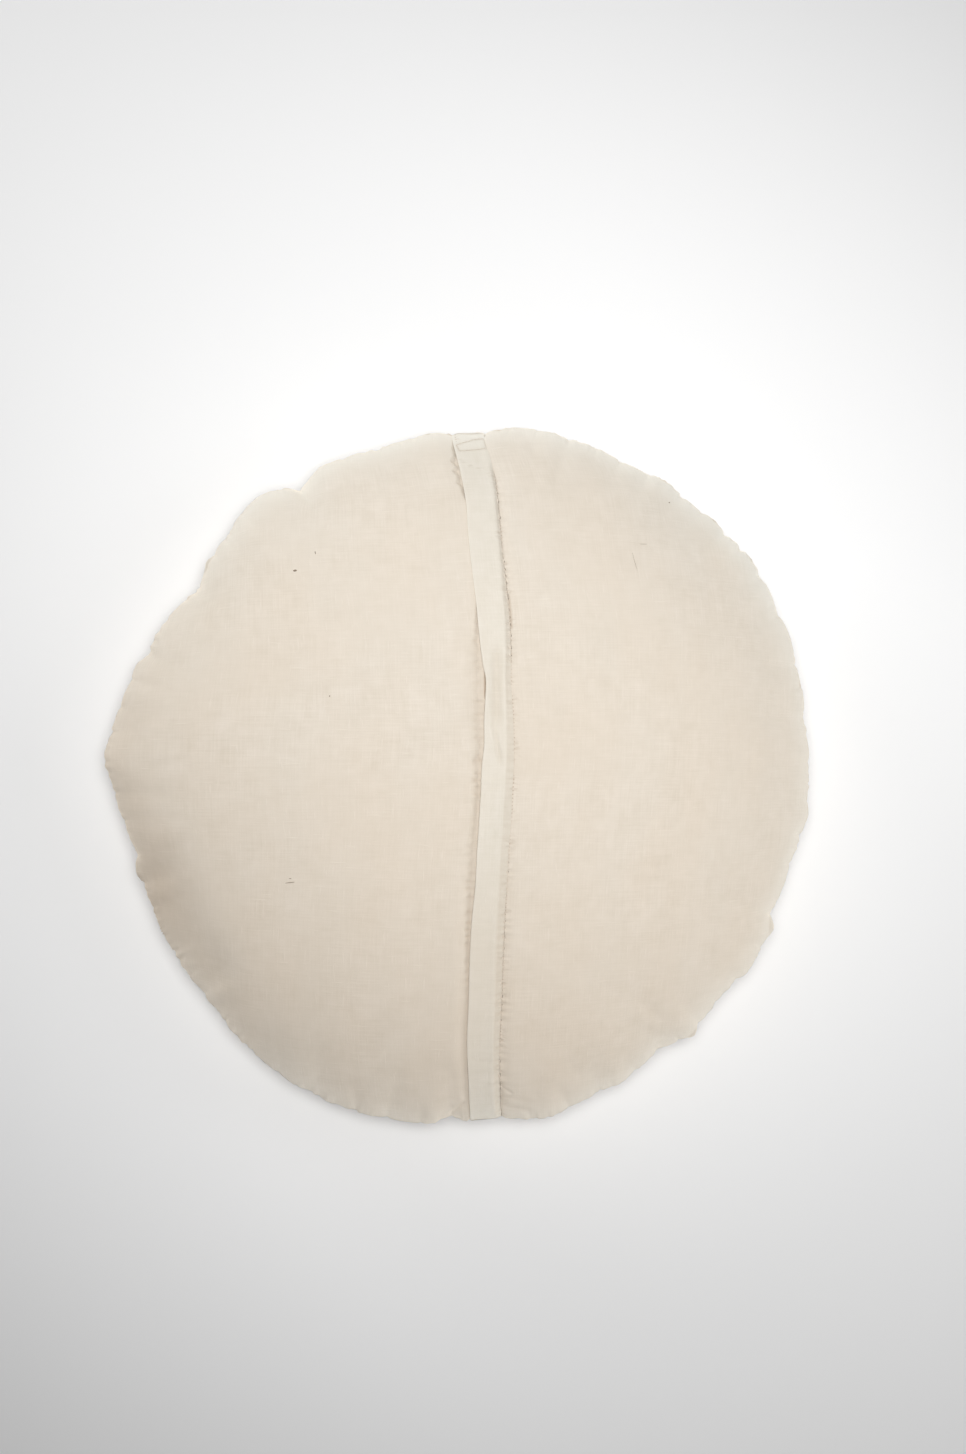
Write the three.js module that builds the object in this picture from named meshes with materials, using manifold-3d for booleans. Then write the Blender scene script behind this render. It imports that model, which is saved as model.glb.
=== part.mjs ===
// A round stuffed cushion in plain linen, lying flat with its closing side up.
// One round panel faces down. Two D-shaped panels face up and meet near the middle, where
// a folded flap on the right-hand panel covers the closing and overlaps the left-hand one.
// Millimetres: +X right and +Y up as seen from above, +Z up from the floor it lies on.
// The origin is on the floor, under the middle of the outline's bounding box.

import * as THREE from 'three';
import { mergeVertices } from 'three/addons/utils/BufferGeometryUtils.js';
import Module from 'manifold-3d';

const wasm = await Module();
wasm.setup();

// The stuffed body
const MEAN_RADIUS = 236;
const SEAM_HEIGHT = 60;
const CROWN_HEIGHT = 72;
const BELLY_DEPTH = 70;
const CROWN_ROUNDNESS = 2.3;
const RIM_ROUNDNESS = 0.72;
const FLOOR_BLEND = 4;

// How the rim puckers
const LOBE_ROUNDNESS = 0.7;
const PUCKER_FADE = 14;
const SEAM_WAVE_FADE = 9;
const SEAM_WAVE_BASE = 0.8;
const SEAM_WAVE_PER_SWELL = 0.7;
const PUFF_PER_SWELL = 3;
const PUFF_BASE = 2;
const PUFF_REACH = 9;
const ARCH_MIDDLE = 0.5;
const BROAD_WINDOW_DEG = 15;
const BROAD_STEP_DEG = 5;

// One row for each pucker round the rim, anticlockwise from +X. `draw` is where the seam lies
// there, out from the mean radius, and `swell` how far the lobe before the next one bulges.
const rimPuckers = [
  { at: 2, draw: -4.1, swell: 0.8 },
  { at: 10, draw: -3.8, swell: 0.8 },
  { at: 14.5, draw: -1.6, swell: 0.8 },
  { at: 27, draw: 1.2, swell: 0.9 },
  { at: 34.5, draw: 3.2, swell: 1.8 },
  { at: 39, draw: 3.6, swell: 2.0 },
  { at: 43, draw: 3.6, swell: 2.2 },
  { at: 48, draw: 3.4, swell: 0.4 },
  { at: 52.5, draw: 3.4, swell: 2.0 },
  { at: 58.5, draw: 2.6, swell: 0.4 },
  { at: 64, draw: 2.0, swell: 1.2 },
  { at: 73, draw: 2.6, swell: 1.0 },
  { at: 78.5, draw: 3.2, swell: 0.8 },
  { at: 84, draw: 0.8, swell: 0.3 },
  { at: 87, draw: -3.2, swell: 0.2 },
  { at: 92.3, draw: -4.2, swell: 1.4 },
  { at: 99, draw: -3.8, swell: 0.6 },
  { at: 105, draw: -5.2, swell: 1.0 },
  { at: 111.5, draw: -4.6, swell: 2.2 },
  { at: 120.3, draw: -11.6, swell: 3.0 },
  { at: 123.2, draw: -4.0, swell: 2.8 },
  { at: 133, draw: -3.2, swell: 0.8 },
  { at: 139, draw: -7.4, swell: 0.6 },
  { at: 145.8, draw: -13.6, swell: 0.8 },
  { at: 148, draw: -10.8, swell: 1.2 },
  { at: 152.5, draw: -6.4, swell: 1.0 },
  { at: 159.5, draw: -4.6, swell: 2.8 },
  { at: 164, draw: 0.8, swell: 0.5 },
  { at: 173, draw: 7.0, swell: 4.6 },
  { at: 183, draw: 2.8, swell: 0.6 },
  { at: 193.8, draw: -6.0, swell: 2.4 },
  { at: 198.5, draw: -4.0, swell: 0.6 },
  { at: 211, draw: -2.8, swell: 0.5 },
  { at: 220, draw: -3.0, swell: 0.4 },
  { at: 225.5, draw: -0.9, swell: 0.5 },
  { at: 237.5, draw: 3.6, swell: 1.1 },
  { at: 251, draw: 4.0, swell: 0.9 },
  { at: 262.5, draw: 2.2, swell: 0.9 },
  { at: 267.6, draw: -4.2, swell: 1.4 },
  { at: 270.4, draw: -2.2, swell: 0.2 },
  { at: 276, draw: -1.4, swell: 2.0 },
  { at: 287, draw: 0.4, swell: 0.5 },
  { at: 293, draw: -2.8, swell: 0.8 },
  { at: 299.5, draw: -4.2, swell: 0.6 },
  { at: 305.2, draw: -8.4, swell: 0.8 },
  { at: 308.6, draw: -5.0, swell: 3.2 },
  { at: 313.2, draw: -5.4, swell: 0.6 },
  { at: 317.6, draw: -6.8, swell: 0.2 },
  { at: 323, draw: -6.2, swell: 2.2 },
  { at: 329.6, draw: -3.8, swell: 2.8 },
  { at: 335.4, draw: -9.6, swell: 1.2 },
  { at: 344.5, draw: -8.6, swell: 0.6 },
  { at: 350, draw: -5.4, swell: 1.4 },
  { at: 355.5, draw: -3.8, swell: 0.6 },
];

// The closing flap
const FLAP_GAP = 0.35;
const CLOSING_STEPS = 54;
const CLOSING_END_SHARE = 0.985;
const CUTTER_HEIGHT = 9;
const CUTTER_OVERRUN = 1.05;
const CUTTER_END_SHARE = 0.995;
const END_CLEARANCE = 0.45;
const END_CLEARANCE_FADE = 8;

// One row for each stretch of the closing, from its far end (+Y) to its near end (-Y). `along` is
// Y, `stitch` the X of the stitched line, `width` how far the free edge lies to its left, and
// `gape` how far that edge stands off the panel below it.
const closingRows = [
  { along: 240, stitch: 11.0, width: 21.6, gape: 0.0 },
  { along: 205, stitch: 18.4, width: 22.6, gape: 0.2 },
  { along: 170, stitch: 23.3, width: 22.8, gape: 0.3 },
  { along: 120, stitch: 28.2, width: 22.1, gape: 0.4 },
  { along: 86, stitch: 31.0, width: 21.2, gape: 0.7 },
  { along: 68, stitch: 31.7, width: 18.6, gape: 2.2 },
  { along: 48, stitch: 32.2, width: 19.0, gape: 2.6 },
  { along: 20, stitch: 32.5, width: 20.2, gape: 1.6 },
  { along: -3, stitch: 32.0, width: 22.0, gape: 0.7 },
  { along: -35, stitch: 30.0, width: 21.8, gape: 0.5 },
  { along: -75, stitch: 27.6, width: 21.8, gape: 0.4 },
  { along: -120, stitch: 25.2, width: 22.6, gape: 0.4 },
  { along: -165, stitch: 23.8, width: 22.6, gape: 0.3 },
  { along: -205, stitch: 23.2, width: 21.9, gape: 0.2 },
  { along: -240, stitch: 23.8, width: 21.3, gape: 0.0 },
];

// The sunk bed that the flap lies in, left to right: `from` is the flap's free edge or its
// stitched line, `off` the distance past it, and `depth` how far the bed lies below the crown.
const bedSection = [
  { from: 'edge', off: -8, depth: -0.9 },
  { from: 'edge', off: -5, depth: 0.9 },
  { from: 'edge', off: -2, depth: 2.0 },
  { from: 'edge', off: 2, depth: 2.4 },
  { from: 'stitch', off: -5, depth: 2.4 },
  { from: 'stitch', off: -1, depth: 1.9 },
  { from: 'stitch', off: 1.5, depth: 1.0 },
  { from: 'stitch', off: 5, depth: -0.9 },
];

// The flap's own upper side, as shares of its width from the stitched line to the free edge.
const flapTop = [
  { share: 0.01, rise: -0.75 },
  { share: 0.1, rise: 0.1 },
  { share: 0.25, rise: 0.75 },
  { share: 0.5, rise: 0.45 },
  { share: 0.75, rise: 0.35 },
  { share: 0.93, rise: 0.3 },
  { share: 1.0, rise: -0.35 },
];
const flapUnder = [
  { share: 0.98, depth: 2.4 },
  { share: 0.75, depth: 2.4 },
  { share: 0.5, depth: 2.4 },
  { share: 0.25, depth: 2.35 },
  { share: 0.06, depth: 1.95 },
];

// Mesh fineness
const RIM_STEP_DEG = 2.1;
const NORMAL_REACH = 3;
const NARROWING_PASSES = 12;
const MERGE_WITHIN = 1e-4;
const innerRings = [
  { share: 0.1, points: 12 },
  { share: 0.2, points: 24 },
  { share: 0.32, points: 36 },
  { share: 0.44, points: 54 },
  { share: 0.55, points: 72 },
  { share: 0.65, points: 96 },
];
const topOuterShares = [0.74, 0.81, 0.865, 0.905, 0.935, 0.958, 0.976, 0.99];
const underOuterShares = [0.76, 0.85, 0.91, 0.95, 0.98];

const LINEN = 0xe4d8c6;
const linen = () => new THREE.MeshStandardMaterial({ color: LINEN, roughness: 0.95, metalness: 0 });

const degrees = THREE.MathUtils.degToRad;

// Which lobe of the rim an angle is in, and how far along that lobe.
function lobeAt(angle) {
  const turn = THREE.MathUtils.euclideanModulo(angle, 360);
  let index = rimPuckers.length - 1;
  while (index > 0 && rimPuckers[index].at > turn) index -= 1;
  if (rimPuckers[index].at > turn) index = rimPuckers.length - 1;
  const here = rimPuckers[index];
  const next = rimPuckers[(index + 1) % rimPuckers.length];
  const span = THREE.MathUtils.euclideanModulo(next.at - here.at, 360);
  const share = THREE.MathUtils.euclideanModulo(turn - here.at, 360) / span;
  const arch = Math.sin(Math.PI * share) ** LOBE_ROUNDNESS;
  return { index, here, next, share, arch };
}

function rimRadius(angle) {
  const { here, next, share, arch } = lobeAt(angle);
  return MEAN_RADIUS + THREE.MathUtils.lerp(here.draw, next.draw, share) + here.swell * arch;
}

// The rim without its small puckers, which die out within a few centimetres of the seam.
function broadRadius(angle) {
  let sum = 0;
  let count = 0;
  for (let off = -BROAD_WINDOW_DEG; off <= BROAD_WINDOW_DEG; off += BROAD_STEP_DEG) {
    sum += rimRadius(angle + off);
    count += 1;
  }
  return sum / count;
}

// The seam climbs over one lobe and dips under the next.
function seamWave(angle) {
  const { index, here, share } = lobeAt(angle);
  const size = SEAM_WAVE_BASE + SEAM_WAVE_PER_SWELL * here.swell;
  const side = index % 2 === 0 ? 1 : -1;
  return side * size * Math.sin(Math.PI * share);
}

const radiusAt = (share, angle) => {
  const broad = broadRadius(angle);
  return share * (broad + (rimRadius(angle) - broad) * share ** PUCKER_FADE);
};

const fullness = (share) => (1 - Math.min(share, 1) ** CROWN_ROUNDNESS) ** RIM_ROUNDNESS;

// Each lobe puffs out between its puckers, most of all just inside the seam.
function lobePuff(share, angle) {
  const { here, arch } = lobeAt(angle);
  const near = share ** PUFF_REACH * fullness(share);
  return (PUFF_BASE + PUFF_PER_SWELL * here.swell) * near * (arch - ARCH_MIDDLE);
}

const seamAt = (share, angle) => SEAM_HEIGHT + seamWave(angle) * share ** SEAM_WAVE_FADE;

const crownAt = (share, angle) =>
  seamAt(share, angle) + CROWN_HEIGHT * fullness(share) + lobePuff(share, angle);

function undersideAt(share, angle) {
  const free = seamAt(share, angle) - BELLY_DEPTH * fullness(share) - lobePuff(share, angle);
  if (free <= -FLOOR_BLEND) return 0;
  if (free >= FLOOR_BLEND) return free;
  return (free + FLOOR_BLEND) ** 2 / (4 * FLOOR_BLEND);
}

// A closed mesh from points and triangles.
function meshGeometry(points, triangles) {
  const geometry = new THREE.BufferGeometry();
  geometry.setAttribute('position', new THREE.Float32BufferAttribute(points.flat(), 3));
  geometry.setIndex(triangles.flat());
  return geometry;
}

// Angles round the rim: every pucker has one, and each lobe is divided evenly.
function rimAngles() {
  const angles = [];
  rimPuckers.forEach((here, index) => {
    const next = rimPuckers[(index + 1) % rimPuckers.length];
    const span = THREE.MathUtils.euclideanModulo(next.at - here.at, 360);
    const steps = Math.max(2, Math.round(span / RIM_STEP_DEG));
    for (let step = 0; step < steps; step += 1) angles.push(here.at + (span * step) / steps);
  });
  return angles;
}

const evenAngles = (count) => Array.from({ length: count }, (_, step) => (360 * step) / count);

// Triangles between an inner ring and an outer one with other angles, going round both.
function stitchRings(inner, outer) {
  const triangles = [];
  const total = inner.angles.length + outer.angles.length;
  const angleOf = (ring, step) =>
    ring.angles[step % ring.angles.length] + 360 * Math.floor(step / ring.angles.length);
  const indexOf = (ring, step) => ring.start + (step % ring.angles.length);
  let a = 0;
  let b = 0;
  while (a + b < total) {
    const outerNext = angleOf(outer, b + 1) <= angleOf(inner, a + 1);
    const advanceOuter = b < outer.angles.length && (outerNext || a === inner.angles.length);
    if (advanceOuter) {
      triangles.push([indexOf(inner, a), indexOf(outer, b), indexOf(outer, b + 1)]);
      b += 1;
    } else {
      triangles.push([indexOf(inner, a), indexOf(outer, b), indexOf(inner, a + 1)]);
      a += 1;
    }
  }
  return triangles;
}

// One side of the cushion: rings from its middle out to the shared seam ring.
function side(points, seam, outerShares, heightAt) {
  const rim = seam.angles;
  const rings = [
    ...innerRings.map(({ share, points: count }) => ({ share, angles: evenAngles(count) })),
    ...outerShares.map((share) => ({ share, angles: rim })),
  ];
  const middle = points.length;
  points.push([0, 0, heightAt(0, 0)]);
  for (const ring of rings) {
    ring.start = points.length;
    for (const angle of ring.angles) {
      const radius = radiusAt(ring.share, angle);
      const turn = degrees(angle);
      points.push([radius * Math.cos(turn), radius * Math.sin(turn), heightAt(ring.share, angle)]);
    }
  }
  rings.push(seam);
  const first = rings[0];
  const triangles = first.angles.map((_, step) => [
    middle,
    first.start + step,
    first.start + ((step + 1) % first.angles.length),
  ]);
  for (let index = 1; index < rings.length; index += 1) {
    triangles.push(...stitchRings(rings[index - 1], rings[index]));
  }
  return triangles;
}

function stuffedBody() {
  const points = [];
  const seam = { start: 0, angles: rimAngles() };
  for (const angle of seam.angles) {
    const radius = rimRadius(angle);
    const turn = degrees(angle);
    points.push([radius * Math.cos(turn), radius * Math.sin(turn), seamAt(1, angle)]);
  }
  const top = side(points, seam, topOuterShares, crownAt);
  const under = side(points, seam, underOuterShares, undersideAt);
  return meshGeometry(points, [...top, ...under.map(([a, b, c]) => [a, c, b])]);
}

// The point of the crown above (x, y).
function crownPoint(x, y) {
  const angle = THREE.MathUtils.radToDeg(Math.atan2(y, x));
  const radius = Math.hypot(x, y);
  const broad = broadRadius(angle);
  const pucker = rimRadius(angle) - broad;
  let share = radius / broad;
  for (let pass = 0; pass < NARROWING_PASSES; pass += 1) {
    share = radius / (broad + pucker * Math.min(share, 1) ** PUCKER_FADE);
  }
  return new THREE.Vector3(x, y, crownAt(Math.min(share, 1), angle));
}

// That point moved off the crown along its smooth normal, down where `rise` is negative.
function offCrown(x, y, rise) {
  const acrossX = crownPoint(x + NORMAL_REACH, y).sub(crownPoint(x - NORMAL_REACH, y));
  const inward = -Math.sign(y) * NORMAL_REACH;
  const alongY = crownPoint(x, y + inward).sub(crownPoint(x, y));
  const normal = new THREE.Vector3().crossVectors(acrossX, alongY).normalize();
  if (normal.z < 0) normal.negate();
  return crownPoint(x, y).addScaledVector(normal, rise);
}

// The closing's own sizes at one place along it, by a smooth curve through its rows.
function closingAt(along) {
  const curve = (key) => {
    const last = closingRows.length - 1;
    let row = 0;
    while (row < last - 1 && closingRows[row + 1].along > along) row += 1;
    const before = closingRows[Math.max(row - 1, 0)];
    const start = closingRows[row];
    const end = closingRows[row + 1];
    const after = closingRows[Math.min(row + 2, last)];
    const span = end.along - start.along;
    const share = (along - start.along) / span;
    const startSlope = ((end[key] - before[key]) / (end.along - before.along)) * span;
    const endSlope = ((after[key] - start[key]) / (after.along - start.along)) * span;
    const square = share * share;
    const cube = square * share;
    return (
      (2 * cube - 3 * square + 1) * start[key] +
      (cube - 2 * square + share) * startSlope +
      (3 * square - 2 * cube) * end[key] +
      (cube - square) * endSlope
    );
  };
  return { stitch: curve('stitch'), width: curve('width'), gape: curve('gape') };
}

// Places along the closing, closer together where the crown falls to the rim.
function closingStations(endShare) {
  const far = crownEnd(1) * endShare;
  const near = crownEnd(-1) * endShare;
  return Array.from({ length: CLOSING_STEPS + 1 }, (_, step) => {
    const swing = Math.cos((Math.PI * step) / CLOSING_STEPS);
    return swing > 0 ? swing * far : -swing * near;
  });
}

// Y where the middle of the flap meets the rim.
function crownEnd(direction) {
  let along = direction * MEAN_RADIUS;
  for (let pass = 0; pass < NARROWING_PASSES; pass += 1) {
    const { stitch, width } = closingAt(along);
    const x = stitch - width / 2;
    const angle = THREE.MathUtils.radToDeg(Math.atan2(along, x));
    const radius = rimRadius(angle);
    along = direction * Math.sqrt(radius * radius - x * x);
  }
  return along;
}

// A solid from like closed sections, one after another, with a flat cap at each end.
function loft(sections) {
  const count = sections[0].length;
  const points = sections.flat().map(({ x, y, z }) => [x, y, z]);
  const triangles = [];
  for (let row = 0; row + 1 < sections.length; row += 1) {
    for (let step = 0; step < count; step += 1) {
      const a = row * count + step;
      const b = row * count + ((step + 1) % count);
      triangles.push([a, b, a + count], [b, b + count, a + count]);
    }
  }
  const capAt = (start, flip) => {
    const section = sections[start];
    const middle = section.reduce((sum, point) => sum.add(point), new THREE.Vector3());
    middle.divideScalar(count);
    points.push([middle.x, middle.y, middle.z]);
    const centre = points.length - 1;
    for (let step = 0; step < count; step += 1) {
      const a = start * count + step;
      const b = start * count + ((step + 1) % count);
      triangles.push(flip ? [centre, b, a] : [centre, a, b]);
    }
  };
  capAt(0, true);
  capAt(sections.length - 1, false);
  return meshGeometry(points, triangles);
}

// What is taken out of the crown for the flap's bed: its floor below, and well clear above.
function bedCutter() {
  const sections = closingStations(CUTTER_OVERRUN).map((along) => {
    const near = crownEnd(-1) * CUTTER_END_SHARE;
    const far = crownEnd(1) * CUTTER_END_SHARE;
    const inside = THREE.MathUtils.clamp(along, near, far);
    const { stitch, width } = closingAt(inside);
    const xOf = { edge: stitch - width, stitch };
    const slide = new THREE.Vector3(0, along - inside, 0);
    const clearance = END_CLEARANCE * (inside / crownEnd(Math.sign(inside) || 1)) ** END_CLEARANCE_FADE;
    const floor = bedSection.map(({ from, off, depth }) =>
      offCrown(xOf[from] + off, inside, -depth - clearance).add(slide),
    );
    const ends = [bedSection.at(-1), bedSection[0]];
    const lid = ends.map(({ from, off }) =>
      offCrown(xOf[from] + off, inside, CUTTER_HEIGHT).add(slide),
    );
    return [...floor, ...lid];
  });
  return loft(sections);
}

function closingFlap() {
  const sections = closingStations(CLOSING_END_SHARE).map((along) => {
    const { stitch, width, gape } = closingAt(along);
    const lift = (share) => gape * share * share;
    const top = flapTop.map(({ share, rise }) =>
      offCrown(stitch - share * width, along, rise + lift(share)),
    );
    const under = flapUnder.map(({ share, depth }) =>
      offCrown(stitch - share * width, along, FLAP_GAP - depth + lift(share)),
    );
    return [...top, ...under];
  });
  return loft(sections);
}

// Booleans work on meshes whose shared points are merged.
function toSolid(geometry) {
  const merged = mergeVertices(geometry, MERGE_WITHIN);
  const solid = new wasm.Mesh({
    numProp: 3,
    vertProperties: new Float32Array(merged.attributes.position.array),
    triVerts: new Uint32Array(merged.index.array),
  });
  return new wasm.Manifold(solid);
}

function fromSolid(solid) {
  const mesh = solid.getMesh();
  const geometry = new THREE.BufferGeometry();
  geometry.setAttribute('position', new THREE.BufferAttribute(mesh.vertProperties, mesh.numProp));
  geometry.setIndex(new THREE.BufferAttribute(mesh.triVerts, 1));
  geometry.computeVertexNormals();
  return geometry;
}

function named(name, geometry) {
  const mesh = new THREE.Mesh(geometry, linen());
  mesh.name = name;
  return mesh;
}

const body = toSolid(stuffedBody()).subtract(toSolid(bedCutter()));
const cushion = named('cushion', fromSolid(body));
const flap = named('closing_flap', closingFlap());

const group = new THREE.Group();
group.add(cushion, flap);
const outline = new THREE.Box3().setFromObject(cushion);
const middle = outline.getCenter(new THREE.Vector3());
group.position.set(-middle.x, -middle.y, -outline.min.z);

export default group;
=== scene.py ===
import math
from collections import namedtuple

import bmesh
import bpy
import numpy as np
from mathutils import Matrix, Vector


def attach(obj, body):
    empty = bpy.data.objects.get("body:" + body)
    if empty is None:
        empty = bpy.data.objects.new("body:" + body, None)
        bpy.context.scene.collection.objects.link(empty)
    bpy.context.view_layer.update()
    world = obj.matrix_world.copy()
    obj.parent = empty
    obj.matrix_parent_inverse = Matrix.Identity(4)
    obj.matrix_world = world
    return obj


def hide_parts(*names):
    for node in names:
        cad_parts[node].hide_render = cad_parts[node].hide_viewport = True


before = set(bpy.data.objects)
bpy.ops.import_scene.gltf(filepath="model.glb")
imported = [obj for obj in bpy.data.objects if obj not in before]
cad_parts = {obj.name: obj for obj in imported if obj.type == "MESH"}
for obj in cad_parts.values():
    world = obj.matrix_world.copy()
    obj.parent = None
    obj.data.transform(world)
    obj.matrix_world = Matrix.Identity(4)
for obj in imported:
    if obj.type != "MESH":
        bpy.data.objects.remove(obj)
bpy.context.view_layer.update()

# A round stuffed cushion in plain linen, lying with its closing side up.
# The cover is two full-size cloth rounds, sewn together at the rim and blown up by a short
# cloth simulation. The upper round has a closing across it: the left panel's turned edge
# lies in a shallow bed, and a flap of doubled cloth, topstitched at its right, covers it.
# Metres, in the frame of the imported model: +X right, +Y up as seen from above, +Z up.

MM = 0.001

# The stuffed shape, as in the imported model
MEAN_RADIUS = 236 * MM
SEAM_HEIGHT = 60 * MM
CROWN_HEIGHT = 72 * MM
BELLY_DEPTH = 70 * MM
CROWN_ROUNDNESS = 2.3
RIM_ROUNDNESS = 0.72
LOBE_ROUNDNESS = 0.7
PUCKER_FADE = 14
BROAD_WINDOW = (-15, -10, -5, 0, 5, 10, 15)

# Rim puckers, anticlockwise from +X in degrees: how far the seam lies out from the mean
# radius there, and how far the lobe before the next pucker bulges, both in millimetres.
Pucker = namedtuple("Pucker", "at draw swell")
rim_puckers = [Pucker(*row) for row in (
    (2, -4.1, 0.8), (10, -3.8, 0.8), (14.5, -1.6, 0.6), (18.5, -0.4, 0.8), (27, 1.2, 0.9),
    (34.5, 3.2, 1.8), (39, 3.6, 2.0), (43, 3.6, 2.2), (48, 3.4, 0.4), (52.5, 3.4, 2.0),
    (58.5, 2.6, 0.4), (64, 2.0, 1.2), (73, 2.6, 1.0), (78.5, 3.2, 0.8), (84, 0.8, 0.3),
    (87, -3.2, 0.2), (92.3, -4.2, 1.4), (99, -3.8, 0.6), (105, -5.0, 1.2), (111.5, -4.6, 2.0),
    (120.3, -11.6, 3.5), (123.2, -3.6, 2.6), (133, -3.4, 0.8), (139, -8.2, 0.6),
    (145.8, -13.6, 0.8), (148, -10, 1.2), (152.5, -6.4, 1.0), (159.5, -4.6, 2.8),
    (164, 0.8, 0.6), (169, 4.2, 0.4), (173, 7.2, 4.8), (183, 3.2, 0.8), (187.5, -0.8, 0.4),
    (193.8, -6.2, 2.2), (198.5, -4, 0.5), (203, -3.6, 0.7), (211, -2.8, 0.5), (220, -3.2, 0.4),
    (225.5, -0.9, 0.5), (232, 1.4, 0.5), (237.5, 3.4, 1.0), (244, 3.4, 0.8), (251, 4.4, 1.0),
    (257, 3.2, 0.9), (262.5, 2.4, 0.8), (267.6, -4.4, 1.4), (270.4, -2.2, 0.2), (276, -1.4, 2),
    (287, 0.4, 0.5), (293, -2.8, 0.8), (299.5, -4.2, 0.6), (305.2, -8.8, 0.8),
    (308.6, -4.8, 3.0), (313.2, -5, 0.6), (317.6, -6.6, 0.2), (323, -6.2, 1.8),
    (329.6, -3.8, 2.6), (335.4, -9.4, 1.2), (344.5, -8.2, 0.6), (350, -5.2, 1.4),
    (355.5, -3.8, 0.6),
)]


def column_of(rows, name):
    """One column of a table."""
    return np.array([getattr(row, name) for row in rows], dtype=float)


def lobe_of(degrees):
    """The lobe each angle lies in, its two puckers, the share of the way along it and its arch."""
    turn = np.mod(degrees, 360)
    starts = column_of(rim_puckers, "at")
    here = np.mod(np.searchsorted(starts, turn, side="right") - 1, len(rim_puckers))
    after = np.mod(here + 1, len(rim_puckers))
    span = np.mod(starts[after] - starts[here], 360)
    share = np.mod(turn - starts[here], 360) / span
    arch = np.sin(math.pi * np.clip(share, 0, 1)) ** LOBE_ROUNDNESS
    return here, after, share, arch


def swell_of(here):
    return column_of(rim_puckers, "swell")[here]


def rim_radius(degrees):
    """The seam's distance from the middle of the cushion."""
    here, after, share, arch = lobe_of(degrees)
    draw = column_of(rim_puckers, "draw")
    out = draw[here] * (1 - share) + draw[after] * share + swell_of(here) * arch
    return MEAN_RADIUS + out * MM


def broad_radius(degrees):
    """The rim without its small puckers."""
    return sum(rim_radius(degrees + off) for off in BROAD_WINDOW) / len(BROAD_WINDOW)


def polar(radius, degrees, *height):
    """Points by radius and angle, with or without a height."""
    turn = np.radians(degrees)
    return np.stack([radius * np.cos(turn), radius * np.sin(turn), *height], axis=1)


# The outline's box is centred on the frame's origin, so the rounds' middle lies a little off it.
around = np.arange(0, 360, 0.25)
outline = polar(rim_radius(around), around)
MIDDLE = Vector((*(-(outline.min(axis=0) + outline.max(axis=0)) / 2), 0))


# Cloth rounds

RIM_POINTS = 384
FEWEST_POINTS = 6
RIM_STEP = 2.0 * MM
STEP_GROWTH = 1.09
PANEL_STEP = 5.0 * MM
UNDERSIDE_STEP = 7.0 * MM
NARROWEST = 0.66
HUB = 0.014
UNDERSIDE_GRAIN_SHIFT = 0.7
PROFILE_STEPS = np.linspace(0, 1, 400)


def ring_plan(widest_step):
    """Rings from the seam to the middle: each one's share of the radius and its points."""
    rings = []
    share = 1.0
    points = RIM_POINTS
    step = RIM_STEP
    while share > HUB:
        rings.append((share, points))
        step = min(step * STEP_GROWTH, widest_step)
        share -= step / MEAN_RADIUS
        gap = 2 * math.pi * share * MEAN_RADIUS / points
        if gap < NARROWEST * step and points > FEWEST_POINTS:
            points //= 2
    return rings


def round_faces(rings, first):
    """Faces of a round of cloth. The seam ring is shared, and `first` numbers the next point."""
    starts = [0]
    count = first
    for _, points in rings[1:]:
        starts.append(count)
        count += points
    faces = []
    for row in range(len(rings) - 1):
        outer, inner = rings[row][1], rings[row + 1][1]
        a, b = starts[row], starts[row + 1]
        for k in range(inner):
            follow = (k + 1) % inner
            if outer == inner:
                faces.append((b + k, a + k, a + follow, b + follow))
            else:
                left, middle, right = 2 * k, 2 * k + 1, (2 * k + 2) % outer
                faces.append((b + k, a + left, a + middle))
                faces.append((b + k, a + middle, b + follow))
                faces.append((b + follow, a + middle, a + right))
    hub = count
    last = rings[-1][1]
    for k in range(last):
        faces.append((hub, starts[-1] + k, starts[-1] + (k + 1) % last))
    return faces, count + 1


def round_points(rings, with_seam):
    """The share of the radius and the angle in degrees of each point of a round of cloth."""
    shares = []
    angles = []
    for share, points in rings if with_seam else rings[1:]:
        shares.append(np.full(points, share))
        angles.append(np.arange(points) * 360 / points)
    shares.append(np.zeros(1))
    angles.append(np.zeros(1))
    return np.concatenate(shares), np.concatenate(angles)


def fullness(share):
    """Height of the stuffed shape over its seam, as a share of its crown."""
    return (1 - np.clip(share, 0, 1) ** CROWN_ROUNDNESS) ** RIM_ROUNDNESS


def along_profile(depth):
    """How far along the cloth each of the profile's steps lies from the middle."""
    rise = depth * fullness(PROFILE_STEPS)
    step = np.hypot(np.diff(PROFILE_STEPS * MEAN_RADIUS), np.diff(rise))
    return np.concatenate([[0], np.cumsum(step)])


# Gathers
SEAM_WAVE = 0.7 * MM
SEAM_WAVE_PER_SWELL = 0.5 * MM
SEAM_WAVE_FADE = 30
PUFF_BASE = 0.4 * MM
PUFF_PER_SWELL = 0.7 * MM
PUFF_REACH = 40
LOOSE_FROM = 0.94
BELLY_GAP = 2.0 * MM


def seam_wave(degrees):
    """The seam climbs over one lobe and dips under the next."""
    here, _, share, _ = lobe_of(degrees)
    size = SEAM_WAVE + SEAM_WAVE_PER_SWELL * swell_of(here)
    return np.where(here % 2 == 0, size, -size) * np.sin(math.pi * share)


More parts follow.
